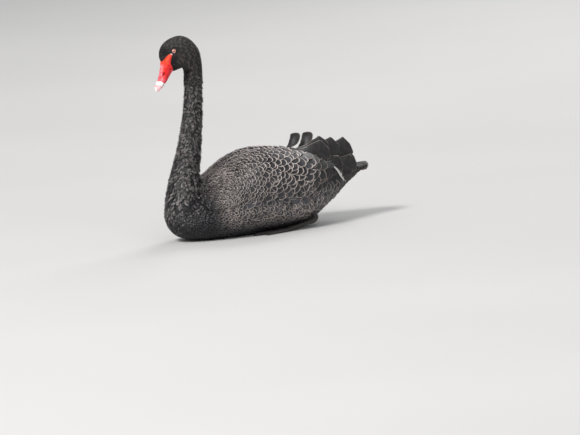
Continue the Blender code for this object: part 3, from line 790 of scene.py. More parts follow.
def add_mantle(looks, rng):
    """The scalloped feathers of the back, shoulder and folded wing, in rows that overlap like shingles."""
    low, high = TRUNK_AT + 4.2, TAIL_AT - 3.3
    edge = body.side(205, WING_LOW - 3)[1]
    for name, sign, from_t, to_t in halves("mantle"):
        s, away = shingled(
            low, high, lambda s: 0.004, lambda s: edge, lambda s: mantle_width(s) * 0.42, mantle_width, rng,
        )
        t = (sign * away) % 1
        point = body.at(s, t)[0]
        n, width = len(s), mantle_width(s) * rng.uniform(0.92, 1.08, len(s))
        # painted light: feathers higher on the back are made lighter and their pale edges stronger, as if lit
        # from above
        painted_top_light = ease(110, 190, point[:, 2])
        tone = fringed(point) * mix(0.7, 1.2, painted_top_light) * rng.uniform(0.7, 1.1, n)
        light = mix(0.35, 1, clouds(point, 26, rng)) * mix(0.7, 1, painted_top_light)
        down = mix(0.0, 0.42, ease(0.03, edge, np.abs(away)))
        look = (light, tone, np.clip(width * 0.058, 0.8, 1.9), rng.random(n))
        grow(
            name, looks, Vane(9, 9, 1.0, 0.018, -0.035), s, t, width * 1.3, width,
            down + rng.normal(0, 0.09, n), -coat_depth(s), -0.6 + rng.uniform(-0.3, 0.3, n),
            rng.uniform(0, 1.2, n), look, np.clip(width * 0.42 / 420, 0.004, 0.03),
            (low, high, from_t, to_t), rng.normal(0, 0.2, n),
        )


def add_tertial_rows(looks, rng):
    """The long feathers behind the mantle, with a thin pale edge, and the dark ones of the rump."""
    edge = body.side(205, WING_LOW + 8)[1]
    rows = (  # name, first and last s, lowest t, distance between rows, width, length, how light, fringe
        ("tertial_rows", TAIL_AT - 4.5, TAIL_AT - 3.3, edge, 17, 44, 72, 0.8, 0.85),
        ("rump_feathers", TAIL_AT - 3.0, TAIL_AT + 1.2, edge * 0.9, 13, 34, 52, 0.35, 0.12),
    )
    for word, low, high, lowest, gap, wide, long, light, tone in rows:
        for name, sign, from_t, to_t in halves(word):
            s, t = shingled(low, high, lambda s: 0.006, lambda s: lowest, lambda s: gap, lambda s: wide, rng)
            n = len(s)
            width = wide * rng.uniform(0.9, 1.1, n)
            down = 0.32 * ease(0.03, edge, t)
            light_here = light * rng.uniform(0.7, 1.2, n)
            look = (light_here, tone * rng.uniform(0.6, 1.1, n), np.full(n, 1.25), rng.random(n))
            grow(
                name, looks, Vane(12, 11, 1.0, 0.014, -0.03), s, (sign * t) % 1,
                long * rng.uniform(0.92, 1.08, n), width, down + rng.normal(0, 0.08, n), -coat_depth(s),
                rng.uniform(-0.6, 0.2, n), rng.uniform(0, 2.5, n), look, np.full(n, 0.03),
                (low - 0.2, high + 0.2, from_t, to_t), rng.normal(0, 0.18, n),
            )


def add_flank(looks, rng):
    """Loose grey feathers of the flank, under the wing's edge."""
    low, high = TRUNK_AT + 5.0, TAIL_AT - 0.6
    edge = body.side(205, WING_LOW)[1]

    def lower_edge(s):
        y = np.interp(s, body.places, body.points[:, FLANK_COLUMN, 1])
        return body.side(y, FLANK_LOW)[1]

    for name, sign, from_t, to_t in halves("flank"):
        s, t = shingled(low, high, lambda s: edge * 0.96, lower_edge, lambda s: 10, lambda s: 24, rng, 0.25)
        t = (sign * t) % 1
        n, width = len(s), rng.uniform(19, 28, len(s))
        point = body.at(s, t)[0]
        tone = rng.uniform(0.25, 0.6, n) * (1 - 0.8 * ease(385, 415, point[:, 1]))
        look = (mix(0.6, 1.3, clouds(point, 25, rng)), tone, rng.uniform(0.8, 1.4, n), rng.random(n))
        grow(
            name, looks, Vane(9, 7, 0.7, 0.02, -0.03), s, t, width * 1.4, width,
            0.5 + rng.normal(0, 0.16, n), -coat_depth(s), -0.6 + rng.uniform(-0.3, 0.3, n),
            rng.uniform(0, 2.0, n), look, np.full(n, 0.018), (low, high, from_t, to_t),
            rng.normal(0, 0.25, n),
        )


# Bill and lores

# Rings of the bill, from the eye: the first number runs towards the bill's tip, and the second is square to
# that, towards the forehead
UPPER_BILL_RINGS = (
    Ring((24.0, 10.5), (37.0, -13.0), 13.5, 0.3, 2.0),
    Ring((33.5, 12.6), (41.5, -15.2), 16, 0.3, 2.0),
    Ring((43.5, 10.2), (49.5, -14.2), 15.2, 0.35, 2.0),
    Ring((54.5, 7.6), (58.5, -12.9), 14.4, 0.4, 2.0),
    Ring((66, 4.8), (68.5, -11.3), 13.9, 0.4, 2.1),
    Ring((77.5, 4.0), (79, -8.9), 14.2, 0.35, 2.2),
    Ring((88.5, 4.8), (89.5, -6.6), 14.2, 0.25, 2.3),
    Ring((97, 4.6), (97.8, -5.2), 12.4, 0.15, 2.3),
    Ring((103, 2.4), (103.2, -4.4), 8.6, 0.1, 2.2),
    Ring((106.4, -0.2), (106, -3.6), 3.4, 0.0, 2.0),
)
LOWER_BILL_RINGS = (
    Ring((34.0, -14.5), (35.0, -18.5), 11.5, -0.2, 2.2),
    Ring((41.9, -15.7), (42.9, -20.2), 13.4, -0.2, 2.2),
    Ring((50.8, -14.6), (52.2, -18.8), 12.6, -0.2, 2.2),
    Ring((59.6, -13.3), (60.6, -17.2), 11.8, -0.2, 2.2),
    Ring((69.4, -11.7), (70.2, -15.2), 11.4, -0.2, 2.2),
    Ring((79.6, -9.4), (80.2, -12.6), 11.4, -0.2, 2.2),
    Ring((89.6, -7.2), (90, -9.8), 10.4, -0.2, 2.2),
    Ring((95.6, -6.0), (95.8, -7.8), 6.8, -0.1, 2.2),
)
NOSTRIL_ALONG, NOSTRIL_UP = 60.0, 1.2
NOSTRIL_LONG, NOSTRIL_HIGH, NOSTRIL_DEEP = 5.0, 1.15, 2.2  # half its length, half its height, and its depth
NAIL_ALONG, NAIL_LONG, NAIL_WIDE, NAIL_HIGH = 101.5, 8.0, 6.4, 0.55
TOMIUM_GAP, TOMIUM_DEEP = 1.6, 0.22  # of the fine ridges along the bill's cutting edge
BAND_FROM, BAND_TO = 80.2, 90.0  # the white band, along the bill
LORE_END = 47.0  # the bare skin of the lores runs this far onto the bill
LORE_MIDDLE = -1.0  # the height of the line that the lores are cast out from
LORE_INSET = 0.8  # how far the bare skin lies inside the coat's outside
LORE_BLEND = 1.1  # how sharply the skin bends where the bill starts
LORE_FAN, LORE_RAYS = 142, 110  # the degrees over which its shape is read, from the top, and in how many rays
RAY_FAR = 34  # the rays come from here
MISSED = -40.0  # the height given to a ray that meets nothing
OPEN = 99  # the lores' upper edge on the bill, where they run right over its ridge


def bill_rows(rings, rows_a_ring, around):
    numbers = [(*out_of_eye(*r.top), *out_of_eye(*r.bottom), *r[2:]) for r in rings]
    places = np.linspace(0, len(rings) - 1, (len(rings) - 1) * rows_a_ring + 1)
    return closed_rows(ring_points(through(numbers, places), np.arange(around) / around * 2 * math.pi))


def inward(rows):
    """Unit vectors from each point of closed rows towards the row's middle."""
    return unit(rows.mean(1, keepdims=True) - rows)


def paint_bill(thing, points, rim, hollow=0.0):
    """Where the horn has its painted orange and pink highlights, is white, mottled like the tip or pale as
    the nail, and where it is dark: painted shade in the nostril's hollow, and a dark strip next to the eye.
    rim is how far each point is from the cutting edge."""
    along, up = (a.ravel() for a in from_eye(points))
    out = np.abs(points[..., 0]).ravel()
    rim = np.broadcast_to(np.ravel(rim), along.shape)
    wobble = 1.1 * np.sin(up * 0.55 + 1) + 0.7 * np.sin(up * 1.3 + out * 0.4)
    ridge = up + 1.6 * np.sin(along * 0.21 + 0.6) + 0.8 * np.sin(along * 0.63)
    # painted highlights: orange high on the bill's base, and pink along the ridge, before the white band and
    # near the cutting edge
    orange = ease(-2, 8, ridge) * ease(9, 13, along) * ease(66, 44, along)
    pink = np.maximum(ease(2.5, 7.5, ridge) * ease(34, 48, along), 0.75 * ease(60, 78, along))
    pink = np.maximum(pink, 0.85 * ease(2.4, 0.8, rim) * ease(38, 42, along))
    band = along + wobble
    white = ease(BAND_FROM - 0.7, BAND_FROM + 0.7, band) * ease(BAND_TO + 2.5, BAND_TO - 1, band)
    white = np.maximum(white, ease(10.4, 9.4, along) * ease(7.4, 8.2, along) * 0.85)
    tip = ease(BAND_TO - 1, BAND_TO + 2.5, band)
    nail = ease(NAIL_WIDE, NAIL_WIDE - 1.5, out) * ease(94.5, 97, along) * ease(-3.5, -1.5, up)
    # painted shade in the nostril's hollow; next to the eye the skin is made dark too
    dark = np.maximum(np.ravel(hollow), ease(8.2, 7.2, along))
    store(thing.data, "warmth", np.stack([orange * (1 - pink), pink, white], -1))
    store(thing.data, "ends", np.stack([tip, nail, np.broadcast_to(dark, along.shape)], -1))


def add_upper_bill(looks):
    around = 168
    rows = bill_rows(UPPER_BILL_RINGS, 22, around)
    along, up = from_eye(rows)
    slit = (along - NOSTRIL_ALONG - 0.6 * (up - NOSTRIL_UP)) / NOSTRIL_LONG
    off = np.hypot(slit, (up - NOSTRIL_UP - 0.6 * slit) / NOSTRIL_HIGH)
    flat = np.abs(rows[..., 0]) > 5
    hole = (1 - ease(0.55, 1.25, off)) * flat
    lip = np.exp(-((off - 1.7) / 0.5) ** 2) * flat * 0.45
    off = np.hypot((along - NAIL_ALONG) / NAIL_LONG, rows[..., 0] / NAIL_WIDE)
    nail = (1 - ease(0.9, 1.05, off)) * (up > -3)
    edge = np.interp(along, *zip(*(ring.bottom for ring in UPPER_BILL_RINGS)))
    ridges = (1 - ease(1.0, 3.2, up - edge)) * np.cos(2 * math.pi * along / TOMIUM_GAP) * ease(43, 48, along)
    sink = hole * NOSTRIL_DEEP - lip - nail * NAIL_HIGH + ridges * TOMIUM_DEEP
    rows = rows + inward(rows) * sink[..., None]
    quads = grid_quads(len(rows), around, closed=True)
    thing = add_piece("upper_bill_horn", rows, quads, looks, ("upper_bill",))
    paint_bill(thing, rows, up - edge, hole)
    return rows


def add_lower_bill(looks):
    around = 120
    rows = bill_rows(LOWER_BILL_RINGS, 16, around)
    along, up = from_eye(rows)
    top = np.interp(along, *zip(*(ring.top for ring in LOWER_BILL_RINGS)))
    ridges = (1 - ease(0.5, 1.8, top - up)) * np.cos(2 * math.pi * along / TOMIUM_GAP) * ease(43, 48, along)
    keel = np.exp(-(rows[..., 0] / 2.2) ** 2) * ease(1.5, 3, top - up) * 0.5
    rows = rows + inward(rows) * (ridges * TOMIUM_DEEP - keel)[..., None]
    quads = grid_quads(len(rows), around, closed=True)
    thing = add_piece("lower_bill_horn", rows, quads, looks, ("lower_bill",))
    paint_bill(thing, rows, top - up)
    return rows


def shape_of(rows):
    """Closed rows of points as a surface that rays can be sent at."""
    quads = grid_quads(*rows.shape[:2], closed=True)
    return BVHTree.FromPolygons(rows.reshape(-1, 3).tolist(), quads.tolist())


def reach_of(shape, at, outward, far):
    """How far out from a point a surface lies, met from outside."""
    hit, _, _, gone = shape.ray_cast(Vector(at + outward * far), Vector(-outward), far)
    return far - gone if hit else MISSED


def add_lores(looks, head, bills):
    """Bare skin from the eye onto the bill: a smooth cover over the head and the bill's base."""
    rows, columns = 96, 48
    turns = np.radians(np.linspace(0, LORE_FAN, LORE_RAYS))
    across = np.linspace(0, 1, columns)
    for name, side in (("lore_left", 1), ("lore_right", -1)):
        points, rims = np.empty((rows, columns, 3)), np.empty((rows, columns))
        ways = np.array([(side * math.sin(a), *out_of_eye(0, math.cos(a))) for a in turns])
        ways -= (0, EYE_Y, EYE_Z)
        for i, along in enumerate(np.linspace(LORE_ALONG[0] - 1.2, LORE_END, rows)):
            at = np.array([0, *out_of_eye(along, LORE_MIDDLE)])
            face = np.array([reach_of(head, at, way, RAY_FAR) for way in ways]) - LORE_INSET
            horn = np.max([[reach_of(bill, at, way, RAY_FAR) for way in ways] for bill in bills], 0) + 0.05
            reach = np.logaddexp(face * LORE_BLEND, horn * LORE_BLEND) / LORE_BLEND
            known = reach > 0
            reach = np.interp(turns, turns[known], reach[known])
            up = LORE_MIDDLE + reach * np.cos(turns)
            top = np.interp(along, LORE_ALONG, LORE_TOP) + 1.2 if along < LORE_ALONG[-2] else OPEN
            low = np.interp(along, LORE_LOW_ALONG, LORE_LOW) - 1.4
            inside = np.flatnonzero((up < top) & (up > low))
            start, end = turns[inside[0]], turns[inside[-1]]
            turn = mix(start, end, across)
            dive = 1.5 * ((1 - ease(0, 0.1, across)) * (top < OPEN) + ease(0.92, 1, across))
            dive = dive + 0.9 * ease(42, LORE_END, along)
            fold = 0.22 * np.sin(turn * 17 + along * 0.3) * ease(0, 0.2, across) * ease(1, 0.8, across)
            fold = fold * ease(10, 18, along)
            out = np.interp(turn, turns, reach) - dive + fold * ease(46, 36, along)
            y, z = out_of_eye(along, LORE_MIDDLE + out * np.cos(turn))
            points[i] = np.stack([side * out * np.sin(turn), y, z], -1)
            rims[i] = mix(9.0, 1.0, ease(38, 41, along) * ease(-13.5, -15.5, np.interp(turn, turns, up)))
        quads = grid_quads(rows, columns)
        paint_bill(add_piece(name, points, quads[:, ::side], looks), points, rims)


def bill_horn():
    """Living keratin over bone: scarlet and smooth with a waxy gloss, with painted orange and pink
    highlights, most over the ridge, white in a band before the tip, mottled on the tip itself, and painted
    shade in the nostril."""
    made, tree, shader = new_material("scarlet_bill_keratin", Roughness=0.4, IOR=1.54, Subsurface_Weight=0.06)
    shader.inputs["Subsurface Radius"].default_value = (1.0, 0.25, 0.15)
    shader.inputs["Subsurface Scale"].default_value = 0.0015
    warmth = add_node(tree, "Attribute", {"attribute_name": "warmth"})[1]
    ends = add_node(tree, "Attribute", {"attribute_name": "ends"})[1]
    orange, pink, white = add_node(tree, "SeparateXYZ", {}, {0: warmth})
    tip, nail, hollow = add_node(tree, "SeparateXYZ", {}, {0: ends})
    where = add_node(tree, "TexCoord")["Object"]
    cloud = add_node(tree, "TexNoise", {"Scale": 1 / (9 * MM), "Detail": 3.0}, {"Vector": where})[0]
    fine = add_node(tree, "TexNoise", {"Scale": 1 / (1.6 * MM), "Detail": 4.0}, {"Vector": where})[0]
    patch = add_node(tree, "MapRange", {**SOFT, "From Min": 0.35, "From Max": 0.65}, {"Value": cloud})[0]
    fleck = add_node(tree, "MapRange", {**SOFT, "From Min": 0.4, "From Max": 0.66}, {"Value": fine})[0]
    horn = add_node(tree, "Mix", {**BLEND, 6: "#e6030e", 7: "#fb1c22"}, {0: patch})[2]
    # painted highlights: the orange and the pink tints over the ridge
    warm = add_node(tree, "Mix", {**BLEND, 6: "#fb3a1c", 7: "#ff6a3c"}, {0: patch})[2]
    horn = add_node(tree, "Mix", BLEND, {0: orange, 6: horn, 7: warm})[2]
    thin = add_node(tree, "Mix", {**BLEND, 6: "#fa5465", 7: "#ffa0a6"}, {0: patch})[2]
    horn = add_node(tree, "Mix", BLEND, {0: pink, 6: horn, 7: thin})[2]
    horn = add_node(tree, "Mix", {**BLEND, 7: "#fdfbf9"}, {0: white, 6: horn})[2]
    mottled = add_node(tree, "Mix", {**BLEND, 6: "#fba5b0", 7: "#fdebe7"}, {0: fleck})[2]
    horn = add_node(tree, "Mix", BLEND, {0: tip, 6: horn, 7: mottled})[2]
    horn = add_node(tree, "Mix", {**BLEND, 7: "#fff4ee"}, {0: nail, 6: horn})[2]
    # painted shade in the nostril's hollow, and the dark strip next to the eye
    horn = add_node(tree, "Mix", {**BLEND, 7: "#2a0406"}, {0: hollow, 6: horn})[2]
    bump = add_node(tree, "Bump", {"Strength": 0.5, "Distance": 0.12 * MM}, {"Height": fine})[0]
    join(tree, shader, {"Base Color": horn, "Normal": bump})
    return made


# Eyes

EYE_RADIUS = 7.0
EYE_SUNK = 1.1  # how much deeper the ball sits than in the solids, so that the lids stand round it
IRIS_RADIUS, PUPIL_RADIUS = 4.5, 1.8
CORNEA_RISE = 0.5
LID_OPEN, LID_OUTER = 4.45, 8.0  # radius of the opening between the lids, and of the lids' outer edge
LID_CORNER = math.radians(-64)  # towards the bill, from the front of the eye
BALL_ROWS, LID_ROWS = 64, 40
LID_RAY = 14  # the face round the lids is read from this far out


def eye_axis(side):
    """The way the eye looks, and two directions square to it: forwards and up."""
    s, t = body.side(EYE_Y, EYE_Z, side > 0)
    out = body.at(np.array([s]), np.array([t]))[1][0]
    out = unit(out * (1 if out[0] * side > 0 else -1) + (0, -0.1, 0))
    ahead = unit(np.array([0, -1.0, 0]) + out * out[1])
    up = np.cross(ahead, out)
    return out, ahead, up * np.sign(up[2])


def add_eyes(iris, lid, head):
    around = 96
    turn = np.arange(around) / around * 2 * math.pi
    for name, side in (("eye_left", 1), ("eye_right", -1)):
        out, ahead, up = eye_axis(side)
        middle = np.array([side * EYE_OUT, EYE_Y, EYE_Z]) - out * EYE_SUNK
        circle = np.cos(turn)[:, None] * ahead + np.sin(turn)[:, None] * up
        tilt = np.linspace(0.01, math.pi * 0.62, BALL_ROWS)
        size = EYE_RADIUS + CORNEA_RISE * (1 - ease(0.25, 0.72, tilt))
        rows = np.array([middle + (out * math.cos(a) + circle * math.sin(a)) * r for a, r in zip(tilt, size)])
        quads = grid_quads(*rows.shape[:2], closed=True)
        ball = add_piece(name + "_ball", rows, quads, iris, (name,))
        store(ball.data, "radius", np.repeat(np.sin(tilt) * EYE_RADIUS, around))
        spokes = np.stack([np.cos(turn), np.sin(turn), 0 * turn], -1)
        store(ball.data, "turn", np.tile(spokes, (BALL_ROWS, 1)))
        towards = np.cos(turn - LID_CORNER)
        corner = np.maximum(0, towards) ** 14 + 0.5 * np.maximum(0, -towards) ** 14
        opening = LID_OPEN + 1.5 * corner - 0.25 * np.sin(turn - LID_CORNER) ** 2
        outer = np.array([reach_of(head, middle + way * LID_OUTER, out, LID_RAY) for way in circle])
        over = [np.sqrt(EYE_RADIUS**2 - np.minimum(opening + k, 6.6) ** 2) for k in (-0.3, 0, 0.5)]
        profile = [  # radius and height over the ball's middle, from the opening outwards
            (opening - 0.3, over[0] - 0.3), (opening, over[1] + 0.3), (opening + 0.5, over[2] + 0.75),
            (opening + 1.1, mix(over[2], outer, 0.4) + 0.75), (mix(opening, LID_OUTER, 0.65), outer - 0.25),
            (np.full(around, LID_OUTER), outer - 1.6),
        ]
        rows = np.array([middle + circle * r[:, None] + out * h[:, None] for r, h in profile])
        places = np.linspace(0, len(profile) - 1, LID_ROWS)
        rows = through(rows.reshape(len(profile), -1), places).reshape(LID_ROWS, around, 3)
        quads = grid_quads(*rows.shape[:2], closed=True)
        lids = add_piece(name + "_lids", rows, quads, lid)
        store(lids.data, "wide", np.repeat(np.linspace(0, 1, LID_ROWS), around))


def iris_and_pupil():
    """A wet eye: a pale pinkish iris with fine spokes and a darker rim, round a black pupil, under a clear
    coat."""
    made, tree, shader = new_material("wet_pink_iris", Roughness=0.12, IOR=1.376, Coat_Weight=0.6)
    shader.inputs["Coat Roughness"].default_value = 0.03
    radius = add_node(tree, "Attribute", {"attribute_name": "radius"})[2]
    turn = add_node(tree, "Attribute", {"attribute_name": "turn"})[1]
    spokes = add_node(tree, "TexNoise", {"Scale": 9.0, "Detail": 3.0}, {"Vector": turn})[0]
    iris = add_node(tree, "Mix", {**BLEND, 6: "#c98477", 7: "#f0b3a4"}, {0: spokes})[2]
    steps = (  # radius where each colour starts, its soft edge, and the colour
        (IRIS_RADIUS - 0.5, 0.6, "#a8584d"), (IRIS_RADIUS, 0.3, "#1a0f0e"), (PUPIL_RADIUS, -0.25, "#010101"),
    )
    for start, soft, colour in steps:
        share = add_node(
            tree, "MapRange", {**SOFT, "From Min": start, "From Max": start + soft}, {"Value": radius},
        )[0]
        iris = add_node(tree, "Mix", {**BLEND, 7: colour}, {0: share, 6: iris})[2]
    join(tree, shader, {"Base Color": iris})
    return made


def eyelid_skin():
    """The lids' naked edge is a pinkish line, and the rest is black wrinkled skin."""
    made, tree, shader = new_material("black_eyelid_skin", Roughness=0.5, IOR=1.4)
    wide = add_node(tree, "Attribute", {"attribute_name": "wide"})[2]
    where = add_node(tree, "TexCoord")["Object"]
    grain = add_node(tree, "TexNoise", {"Scale": 1 / (0.7 * MM), "Detail": 3.0}, {"Vector": where})[0]
    skin = add_node(tree, "Mix", {**BLEND, 6: "#080708", 7: "#1d1a1c"}, {0: grain})[2]
    edge = add_node(tree, "MapRange", {**SOFT, "From Min": 0.5, "From Max": 0.38}, {"Value": wide})[0]
    skin = add_node(tree, "Mix", {**BLEND, 7: "#dc9c8c"}, {0: edge, 6: skin})[2]
    bump = add_node(tree, "Bump", {"Strength": 1.0, "Distance": 0.2 * MM}, {"Height": grain})[0]
    join(tree, shader, {"Base Color": skin, "Normal": bump})
    return made


# Large feathers

# root is (x, y, z), out and up are the angles of the shaft at the root, out from straight back and up from
# level. curl bends the vane up along its length, tilt turns its outer edge down at the root, twist adds to
# that towards the tip and cup hollows it, all in degrees. blunt is the share of the length where it rounds.
Plume = namedtuple("Plume", "root length width out up curl tilt twist cup blunt")
LEFT_PLUMES = (
    Plume((52, 300, 187), 96, 56, -2, -12, 40, 45, 30, 60, 0.88),
    Plume((38, 314, 189), 88, 48, -2, -4, 38, 40, 34, 60, 0.9),
    Plume((34, 348, 184), 88, 58, -1, -8, 34, 58, 24, 90, 0.9),
    Plume((22, 386, 168), 92, 52, -2, 0, 32, 50, 34, 40, 0.93),
    Plume((44, 384, 148), 94, 46, -3, -12, 26, 50, 25, 50, 0.9),
    Plume((58, 348, 160), 84, 46, -3, -16, 14, 52, 20, 40, 0.86),
    Plume((30, 404, 148), 76, 44, -2, -2, 20, 30, 30, 30, 0.86),
)
RIGHT_PLUMES = (
    Plume((26, 318, 187), 49, 27, 0, 34, 62, -8, -44, 60, 0.8),
    Plume((26, 348, 179), 57, 31, 0, 34, 62, -8, -36, 60, 0.8),
    Plume((40, 346, 166), 88, 46, -2, -4, 6, 30, 30, 70, 0.88),
    Plume((36, 384, 152), 82, 42, -2, -6, 6, 34, 30, 70, 0.88),
    Plume((56, 330, 164), 90, 46, -3, -12, 8, 50, 20, 40, 0.86),
)
WHITE_PLUMES = (
    Plume((71, 396, 140), 62, 10, -29, -38, -6, 80, 0, 10, 0.7),
    Plume((69, 400, 135), 60, 9, -29, -40, -4, 80, 0, 10, 0.7),
)
VANE_THICK, SHAFT_WIDE = 0.5, 0.9
PLUME_TONE, PLUME_FRINGE = 0.6, 1.3  # how strong and how wide the pale edge is
PLUME_RIPPLE, PLUME_FRAY = 0.35, 0.5  # how far the edge waves and frays
MAP_CELLS = 6  # big feathers along each side of their bake map
CELL_EDGE, CELL_WIDE, CELL_HIGH = 0.06, 0.86, 0.4  # one feather's top or underside in its cell of the map
CELL_STEP = 0.45  # from the top to the underside
TAIL_FEATHERS, TAIL_SPREAD, TAIL_REACH, TAIL_SHORTER, TAIL_DROP, TAIL_WIDE = 13, 20, 99, 14, 9, 21


def plume_points(plume, side, rows, columns):
    """The middle of a big feather as a grid of points, and the way each point's surface faces."""
    out, up = math.radians(plume.out) * side, math.radians(plume.up)
    point = np.array([plume.root[0] * side, plume.root[1], plume.root[2]], float)
    points, faces, marks = [], [], []
    for i in range(rows):
        share = i / (rows - 1)
        rise = up + math.radians(plume.curl) * share * share
        ahead = np.array([math.sin(out) * math.cos(rise), math.cos(out) * math.cos(rise), math.sin(rise)])
        level = Vector((math.cos(out), -math.sin(out), 0))
        turn = Matrix.Rotation(math.radians(plume.tilt + plume.twist * share) * side, 3, Vector(ahead))
        level = np.array(turn @ level)
        face = np.cross(level, ahead)
        swell = mix(0.4, 1.0, float(ease(0, plume.blunt - 0.2, share)))
        end = max(0, share - plume.blunt) / (1 - plume.blunt)
        half = plume.width / 2 * max(swell * math.sqrt(max(0, 1 - end**3)), 0.1)
        bend = math.radians(plume.cup) * float(ease(0, 0.5, share)) + 1e-4
        along = plume.length * share
        for j in range(columns):
            off = 2 * j / (columns - 1) - 1
            lean = off * bend / 2
            sag = (1 - math.cos(lean)) / (bend / 2)
            points.append(point + level * half * math.sin(lean) / (bend / 2) - face * half * sag)
            faces.append(face * math.cos(lean) + level * math.sin(lean))
            marks.append((half * off, along, rim_mark(off, half, along, plume.length)))
        point = point + ahead * plume.length / (rows - 1)
    return np.array(points), np.array(faces), np.array(marks)


def add_plumes(name, looks, plumes, side, rng, rows=34, columns=25):
    """Big feathers as thin closed vanes with a raised shaft and a frayed edge."""
    verts, quads, rims, barbs, traits, spots = [], [], [], [], [], []
    top = grid_quads(rows, columns)
    border = np.concatenate([
        np.arange(columns), np.arange(1, rows) * columns + columns - 1,
        (rows - 1) * columns + np.arange(columns - 2, -1, -1), np.arange(rows - 2, 0, -1) * columns,
    ])
    off = np.tile(np.linspace(-1, 1, columns), rows)
    row = np.repeat(np.arange(rows), columns)
    share = row / (rows - 1)
    for k, plume in enumerate(plumes):
        points, faces, mark = plume_points(plume, side, rows, columns)
        ahead = unit(np.gradient(points.reshape(rows, columns, 3), axis=0).reshape(-1, 3))
        wave = np.interp(mark[:, 1], np.linspace(0, plume.length, 24), rng.normal(0, 1, 24))
        fray = np.abs(rng.normal(0, 1, (2, rows))[np.where(off < 0, 0, 1), row])
        fray = fray * PLUME_FRAY * np.abs(off) ** 4 * ease(0.25, 0.5, share)
        points = points + faces * (wave * PLUME_RIPPLE * np.abs(off))[:, None] - ahead * fray[:, None]
        shaft = np.exp(-(mark[:, 0] / SHAFT_WIDE) ** 2) * mix(0.9, 0.25, share)
        thick = VANE_THICK / 2 * (1 - 0.7 * np.abs(off) ** 3)
        upper = points + faces * (thick + shaft * 0.5)[:, None]
        lower = points - faces * (thick + shaft)[:, None]
        base = len(upper) * 2 * k
        ring = np.stack([border, np.roll(border, -1)], -1)
        edge = np.stack([ring[:, 1], ring[:, 0], ring[:, 0] + len(upper), ring[:, 1] + len(upper)], -1)
        verts += [upper, lower]
        quads += [top + base, top[:, ::-1] + base + len(upper), edge + base]
        rims += [mark[:, 2] / PLUME_FRINGE] * 2
        across = np.tile(np.abs(mark[:, 0]), 2)
        barbs.append(barb_place(np.tile(mark[:, 1], 2), across, rng.random()))
        light, tone = rng.uniform(0.7, 1.1), PLUME_TONE * rng.uniform(0.7, 1)
        traits.append(np.stack(np.broadcast_arrays(light, tone, across), -1))
        cell = (k % MAP_CELLS + CELL_EDGE, k // MAP_CELLS + CELL_EDGE)
        at = np.stack([CELL_WIDE * (off / 2 + 0.5), CELL_HIGH * share], -1) + cell
        spots += [at / MAP_CELLS, (at + (0, CELL_STEP)) / MAP_CELLS]
    points = np.concatenate(verts)
    points[:, 2] = np.maximum(points[:, 2], FLOOR_GAP)
    thing = add_piece(name, points, np.concatenate(quads), looks)
    for kind, values in (("barb", barbs), ("traits", traits), ("rim", rims)):
        store(thing.data, kind, np.concatenate(values))
    store_map(thing.data, np.concatenate(spots))


def tail_plumes():
    made = []
    for k in range(TAIL_FEATHERS):
        off = 2 * k / (TAIL_FEATHERS - 1) - 1
        layer = 0.55 * abs(off) * (TAIL_FEATHERS // 2)
        reach = TAIL_REACH - TAIL_SHORTER * off**2
        drop = math.degrees(math.atan2(TAIL_DROP * abs(off) ** 1.5, reach))
        root = (7 * off, 428, 129 - layer)
        made.append(Plume(root, reach + 2, TAIL_WIDE, TAIL_SPREAD * off, 2 - drop, 0, 14 * off, 0, 12, 0.8))
    return made


# Feet

FOOT_X = 86
ANKLE_Y, ANKLE_Z = 322, 19
TOE_ROOT_Y = 246
TOE_REACH = (84, 100, 76)  # inner, middle and outer toe
TOE_SPLAY = (-11, -1, 9)  # degrees
TOE_RADIUS = 4.2
SCUTE_GAP, SCUTE_DEEP = 2.6, 0.22  # the horny plates along the top of the toes and shank
CLAW_LONG, CLAW_RADIUS = 8.5, 2.3
CLAW_LINE = ((-2, 0), (2, 0), (5, 0.2), (CLAW_LONG, 1.4))  # along the claw and down, from the toe's tip
HIND_TOE = ((-2, -52, -11), (-8, -48, -14.5), (-12, -42, -16.2))  # from the ankle
TOE_FLAT = 0.9  # a toe's height, as a share of its width
TOE_APART, TOE_FALL = 5.0, 1.9  # between the toes' roots, and from a toe's root to its tip
WEB_THICK = 1.1
FOOT_GAP = 0.15  # nothing of a foot comes nearer the floor


def tube_rows(line, radii, around, step, scutes=True):
    """A limb along a line of points. radii is its radius at each, and its top is crossed by horny plates."""
    line = np.asarray(line, float)
    steps = np.concatenate([[0], np.cumsum(np.linalg.norm(np.diff(line, axis=0), axis=1))])
    rows = max(8, int(steps[-1] / step))
    places = np.interp(np.linspace(0, steps[-1], rows), steps, np.arange(len(line)))
    numbers = through(np.concatenate([line, np.reshape(radii, (-1, 1))], 1), places)
    middle, radius = numbers[:, :3], numbers[:, 3:]
    ahead = unit(np.gradient(middle, axis=0))
    level = unit(np.cross(ahead, (0, 0, 1.0)))
    up = np.cross(level, ahead)
    turn = np.arange(around) / around * 2 * math.pi
    reach = np.linspace(0, steps[-1], rows)[:, None]
    plate = np.abs(np.sin(math.pi * reach / SCUTE_GAP)) ** 0.5 * np.maximum(0, np.cos(turn)) ** 0.5
    size = radius + plate * SCUTE_DEEP * scutes
    made = middle[:, None] + level[:, None] * (np.sin(turn) * size)[..., None]
    made = made + up[:, None] * (np.cos(turn) * size * TOE_FLAT)[..., None]
    return closed_rows(made, (0.1,), (0.85, 0.5, 0.1))


def toe_line(side, i):
    splay = math.radians(TOE_SPLAY[i])
    ahead = np.array([math.sin(splay) * side, -math.cos(splay), 0])
    root = np.array([side * (FOOT_X + (i - 1) * TOE_APART), TOE_ROOT_Y, TOE_RADIUS + 1.0])
    joints = np.linspace(0, 1, 9)
    points = root + ahead * (TOE_REACH[i] - CLAW_LONG * 0.6) * joints[:, None]
    points[:, 2] -= TOE_FALL * joints
    radii = TOE_RADIUS * (1 - 0.36 * joints) * (1 + 0.09 * np.cos(joints * 6 * math.pi))
    return points, radii


def join_grids(grids):
    """Several closed grids of points as one list of points and quads."""
    points, quads, base = [], [], 0
    for grid in grids:
        points.append(grid.reshape(-1, 3))
        quads.append(grid_quads(*grid.shape[:2], closed=True) + base)
        base += len(points[-1])
    return np.concatenate(points), np.concatenate(quads)


